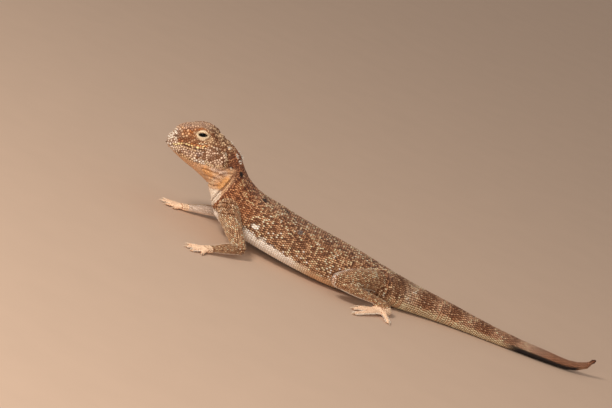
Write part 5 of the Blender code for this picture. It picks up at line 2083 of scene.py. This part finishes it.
SHOULDER_FOLD = ((-62.8, -8.4, 23.9), (-62.9, -9.1, 22.7), (-64.0, -10.1, 19.0), (-65.3, -9.4, 16.1),
                 (-65.9, -7.7, 13.4), (-65.6, -4.3, 10.2))
THROAT_FOLD = ((-70.6, 0.5, 15.2), (-70.2, -4.5, 16.9), (-68.0, -8.2, 17.4), (-66.0, -9.4, 18.8))
DEWLAP_FOLDS = (
    ((-74.8, -8.3, 21.7), (-72.0, -9.1, 22.3), (-69.2, -9.8, 22.7), (-65.4, -9.6, 22.7)),
    ((-73.2, -6.6, 19.2), (-71.0, -8.2, 20.2), (-68.4, -9.4, 20.6), (-65.8, -9.7, 20.2)),
)
NECK_FOLDS = (
    ((-68.6, -9.6, 24.0), (-67.3, -6.4, 24.8), (-65.4, -8.4, 26.4), (-63.2, -6.6, 26.5)),
    ((-67.6, -9.9, 22.0), (-67.0, -9.8, 23.0), (-64.4, -8.8, 24.4), (-61.8, -7.4, 24.4)),
)
ARM_FOLDS = (
    ((-63.6, -10.0, 12.6), (-63.3, -11.5, 13.0), (-60.4, -14.5, 15.2), (-57.0, -13.6, 15.9)),
    ((-63.6, -11.0, 11.0), (-62.4, -13.4, 12.4), (-59.8, -16.0, 13.9), (-56.1, -15.1, 14.7)),
    ((-62.8, -12.6, 9.6), (-61.4, -15.0, 11.0), (-58.6, -17.4, 12.0), (-55.6, -16.4, 12.4)),
)


def skin_folds() -> list[Fold]:
    """Folds of the shoulders, throat, neck and arms."""
    made = [Fold(path, 0.75, 0.34, 0.6) for path in both_sides(SHOULDER_FOLD)]
    made.append(Fold(((-65.6, -5.0, 10.2), (-65.4, 0.5, 9.2), (-65.6, 6.0, 10.2)), 0.6, 0.4, 0.5))
    made += [Fold(path, 0.45, 0.36, 0.5) for path in both_sides(THROAT_FOLD)]
    for route in NECK_FOLDS:
        made += [Fold(path, 0.40, 0.30, 0.6) for path in both_sides(route)]
    for route in ARM_FOLDS:
        made += [Fold(path, 0.46, 0.30, 0.6) for path in both_sides(route)]
    for route in DEWLAP_FOLDS:
        made += [Fold(path, 0.34, 0.42, 0.8) for path in both_sides(route)]
    return made


FLESH = (
    "head", "neck", "torso", "tail_base", "tail_middle", "tail_tip",
    "left_upper_arm", "left_forearm", "left_hand", "right_upper_arm", "right_forearm", "right_hand",
    "left_thigh", "left_shank", "left_foot", "right_thigh", "right_shank", "right_foot",
)
COATS = (
    ("head_scales", "head_skin", FLESH[:1], 0.0), ("neck_scales", "head_skin", FLESH[1:2], 0.0),
    ("tail_scales", "tail_skin", FLESH[3:6], 0.0), ("arm_scales", "limb_skin", FLESH[6:12], 0.0),
    ("leg_scales", "limb_skin", FLESH[12:18], 0.0), ("front_trunk_scales", "trunk_skin", FLESH[2:3], -1.0),
    ("rear_trunk_scales", "trunk_skin", FLESH[2:3], 1.0),
)


def sharp_tips(nodes: Iterable[Piece], deficit: float = 3.4) -> Points:
    """Tips of the solids' spines: corners that are far from flat.

    Args:
        nodes: Nodes to search.
        deficit: Angle in radians by which the corners round a tip fall short of a full turn.

    Returns:
        Places of the tips.
    """
    tips = []
    for node in nodes:
        work = bmesh.new()
        work.from_mesh(node.data)
        bmesh.ops.remove_doubles(work, verts=work.verts, dist=1e-6)
        for vertex in work.verts:
            if 2.0 * math.pi - sum(loop.calc_angle() for loop in vertex.link_loops) > deficit:
                tips.append(np.array(vertex.co) / MM)
        work.free()
    return np.array(tips)


class Agama:
    """The whole animal."""

    def __init__(self, frame: dict) -> None:
        self.nodes: dict[str, Piece] = frame["nodes"]
        self.names = list(FLESH)
        self.head = HeadFrame()
        self.paws = PawPlans().build(self.head)
        self.eyes = [EyeRegion(self.head, side) for side in (-1.0, 1.0)]
        self.lips = LipLine(self.head)
        trunk = Surface([self.nodes[name] for name in FLESH[2:6]])
        self.line = BodyLine(trunk, -64.0, 88.5)
        self.markings = Markings(self.head, self.line, self.names)
        self.dice = np.random.default_rng(7)

    def grow_skin(self) -> None:
        """Make and sculpt the skin."""
        self.skin = Skin(self.nodes, self.names, self.head, self.paws)
        self.skin.fuse()
        self.skin.settle(sharp_tips([self.nodes["head"], self.nodes["neck"]]))
        sculptor = Sculptor(self.skin, self.head, self.eyes, self.lips)
        sculptor.refine()
        sculptor.carve(skin_folds())
        self.sculptor = sculptor
        self.markings.creases = sculptor.creases
        piece = self.skin.piece
        piece.data.shade_smooth()
        LOG.info("skin: %d faces", len(piece.data.polygons))

    def dress_skin(self, layer: ScaleLayer) -> None:
        """Paint the skin and let it stand for the flesh nodes."""
        piece = self.skin.piece
        places = vertices_of(piece)
        owners = layer.owners(places)
        colours = self.markings.tint(places, self.skin.normals(), owners, 0.0, 5)
        relief = self.markings.relief(places, self.skin.normals(), owners)
        # Painted shade on the skin between the scales: darker and redder where the scales stand out more.
        painted_gap_shade = blend(colours * (0.60, 0.46, 0.40), Tone.BRICK.rgb * 0.7, 0.30)
        colours = blend(painted_gap_shade, colours * 0.88, ease(0.9, 0.5, relief))
        # Painted shade: near-black in the groove of the mouth and inside the nostril pits.
        gaps = gaps_to(np.vstack([self.sculptor.line, self.sculptor.nostrils]), places)
        colours = blend(colours, Tone.BLACK.rgb * (2.0, 1.0, 0.8), 0.85 * ease(0.50, 0.28, gaps))
        paint(piece, colours)
        piece.data.materials.clear()
        piece.data.materials.append(HideFinish("skin_ground", 0.75, 3200.0, 0.25, 0.4).material())
        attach(piece, BODY)
        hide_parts(*FLESH)

    def grow_scales(self) -> None:
        """Lay every bed of scales and join them into coat pieces."""
        surface = Surface([self.skin.piece])
        layer = ScaleLayer(surface, self.names, self.nodes, self.line, self.head)
        self.dress_skin(layer)
        beds = [layer.trunk_rows(self.dice)]
        for name in FLESH[6:]:
            if not name.endswith(("hand", "foot")):
                step = 0.74 if name.endswith(("thigh", "upper_arm")) else 0.66
                beds.append(layer.limb_rows(name, step, self.dice))
        for paw in self.paws:
            beds.append(layer.digit_rows(paw, self.dice))
        rows = self.lip_rows(layer, surface)
        beds += [row[0] for row in rows]
        laid = np.vstack([bed.places for bed in beds])
        beds.append(layer.fill(self.skin.piece, laid, self.eyes, self.bare, self.dice))
        for number, bed in enumerate(beds):
            bed.tints = self.markings.tint(bed.places, bed.normals, bed.owners, bed.grain, 20 + number)
            # The relief also sets how strong the painted shade and painted highlight of each scale are.
            bed.contrast = self.markings.relief(bed.places, bed.normals, bed.owners)
            bed.height = bed.height * (0.40 + 0.60 * np.minimum(bed.contrast, 1.0))
        for bed, tone, share in rows:
            count = len(bed.places)
            pale = tone.rgb * (0.80 + 0.35 * self.dice.random((count, 1)))
            bed.tints = blend(bed.tints, pale, share * (self.dice.random(count) > 0.30))
        armour = Armour(self.head, surface, self.eyes, self.paws, self.dice)
        armour.build(HideFinish("spine_hide").material())
        self.join_coats(beds)

    def lip_rows(self, layer: ScaleLayer, surface: Surface) -> list[tuple[Bed, Tone, float]]:
        """Rows of shields along both lips and under each eye, with their tone and its share."""
        plans = (
            (0.58, 1.15, 0.92, 0.46, Tone.BUTTER, 0.68), (-0.70, 1.05, 0.84, 0.46, Tone.CREAM, 0.55),
            (-1.55, 1.15, 0.90, 0.40, Tone.ROSE, 0.60))
        rows = []
        for rise, pitch, wide, high, tone, share in plans:
            path = self.lips.trace(surface, rise)
            row = layer.beads(path, pitch, wide, high, self.dice)
            rows.append((row.pick(self.head.local(row.places)[:, 0] < 12.2), tone, share))
        for side in (-1.0, 1.0):
            stops = np.array(((4.6, 9.3, 4.1), (2.8, 9.8, 3.9), (0.9, 10.1, 4.1), (-1.0, 10.0, 4.6)))
            path = layer.skin.nearest(self.head.world(stops * (1.0, side, 1.0)))[0]
            rows.append((layer.beads(path, 1.05, 0.50, 0.36, self.dice), Tone.LID, 0.85))
        return rows

    def bare(self, places: Points) -> Points:
        """Marks the places inside the eye openings, the nostrils and the line of the mouth."""
        inside = np.zeros(len(places), bool)
        for eye in self.eyes:
            local = (places - eye.centre) @ eye.axes.T
            near = (lengths_of(local) < 3.4) & (local[:, 2] > 0.3)
            inside |= near & (eye.almond(local) < 1.30)
        for nostril in self.sculptor.nostrils:
            inside |= lengths_of(places - nostril) < self.sculptor.nostril_bare
        return inside | (gaps_to(self.sculptor.line, places) < 0.39)

    def join_coats(self, beds: list[Bed]) -> None:
        """Sort the beds into coat pieces by the nodes that they stand on."""
        for bed in beds:
            if bed.shape is Shape.CELL:
                bed.normals = level_normals(bed.places, bed.normals)
        unwrap = Unwrap([self.nodes[name] for name in self.names])
        finish = HideFinish("scale_hide").material()
        for name, slot, members, half in COATS:
            strips = [self.names.index(member) for member in members]
            chosen = []
            for bed in beds:
                keep = np.isin(bed.owners, strips)
                if half:
                    keep &= half * (bed.places[:, 0] - TRUNK_SPLIT) > 0.0
                if keep.any():
                    chosen.append(bed.pick(keep))
            coat = Coat(name, chosen, strips).build(unwrap)
            coat.data.materials.append(finish)
            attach(coat, BODY)

    def build(self) -> None:
        """Build the whole animal."""
        self.grow_skin()
        self.grow_scales()
        Eyes(self.eyes).build()
        horn = PlainFinish("claw_horn", (0.66, 0.50, 0.36), 0.38, 900.0, 0.18).material()
        for paw in self.paws:
            Claws(paw).build(horn)


def main() -> None:
    """Load the frame and build the animal and the studio."""
    logging.basicConfig(level=logging.INFO, format="%(message)s")
    for leftover in list(bpy.data.objects):
        bpy.data.objects.remove(leftover, do_unlink=True)
    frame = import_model()
    Agama(frame).build()
    Studio().build()


if __name__ == "__main__":
    main()
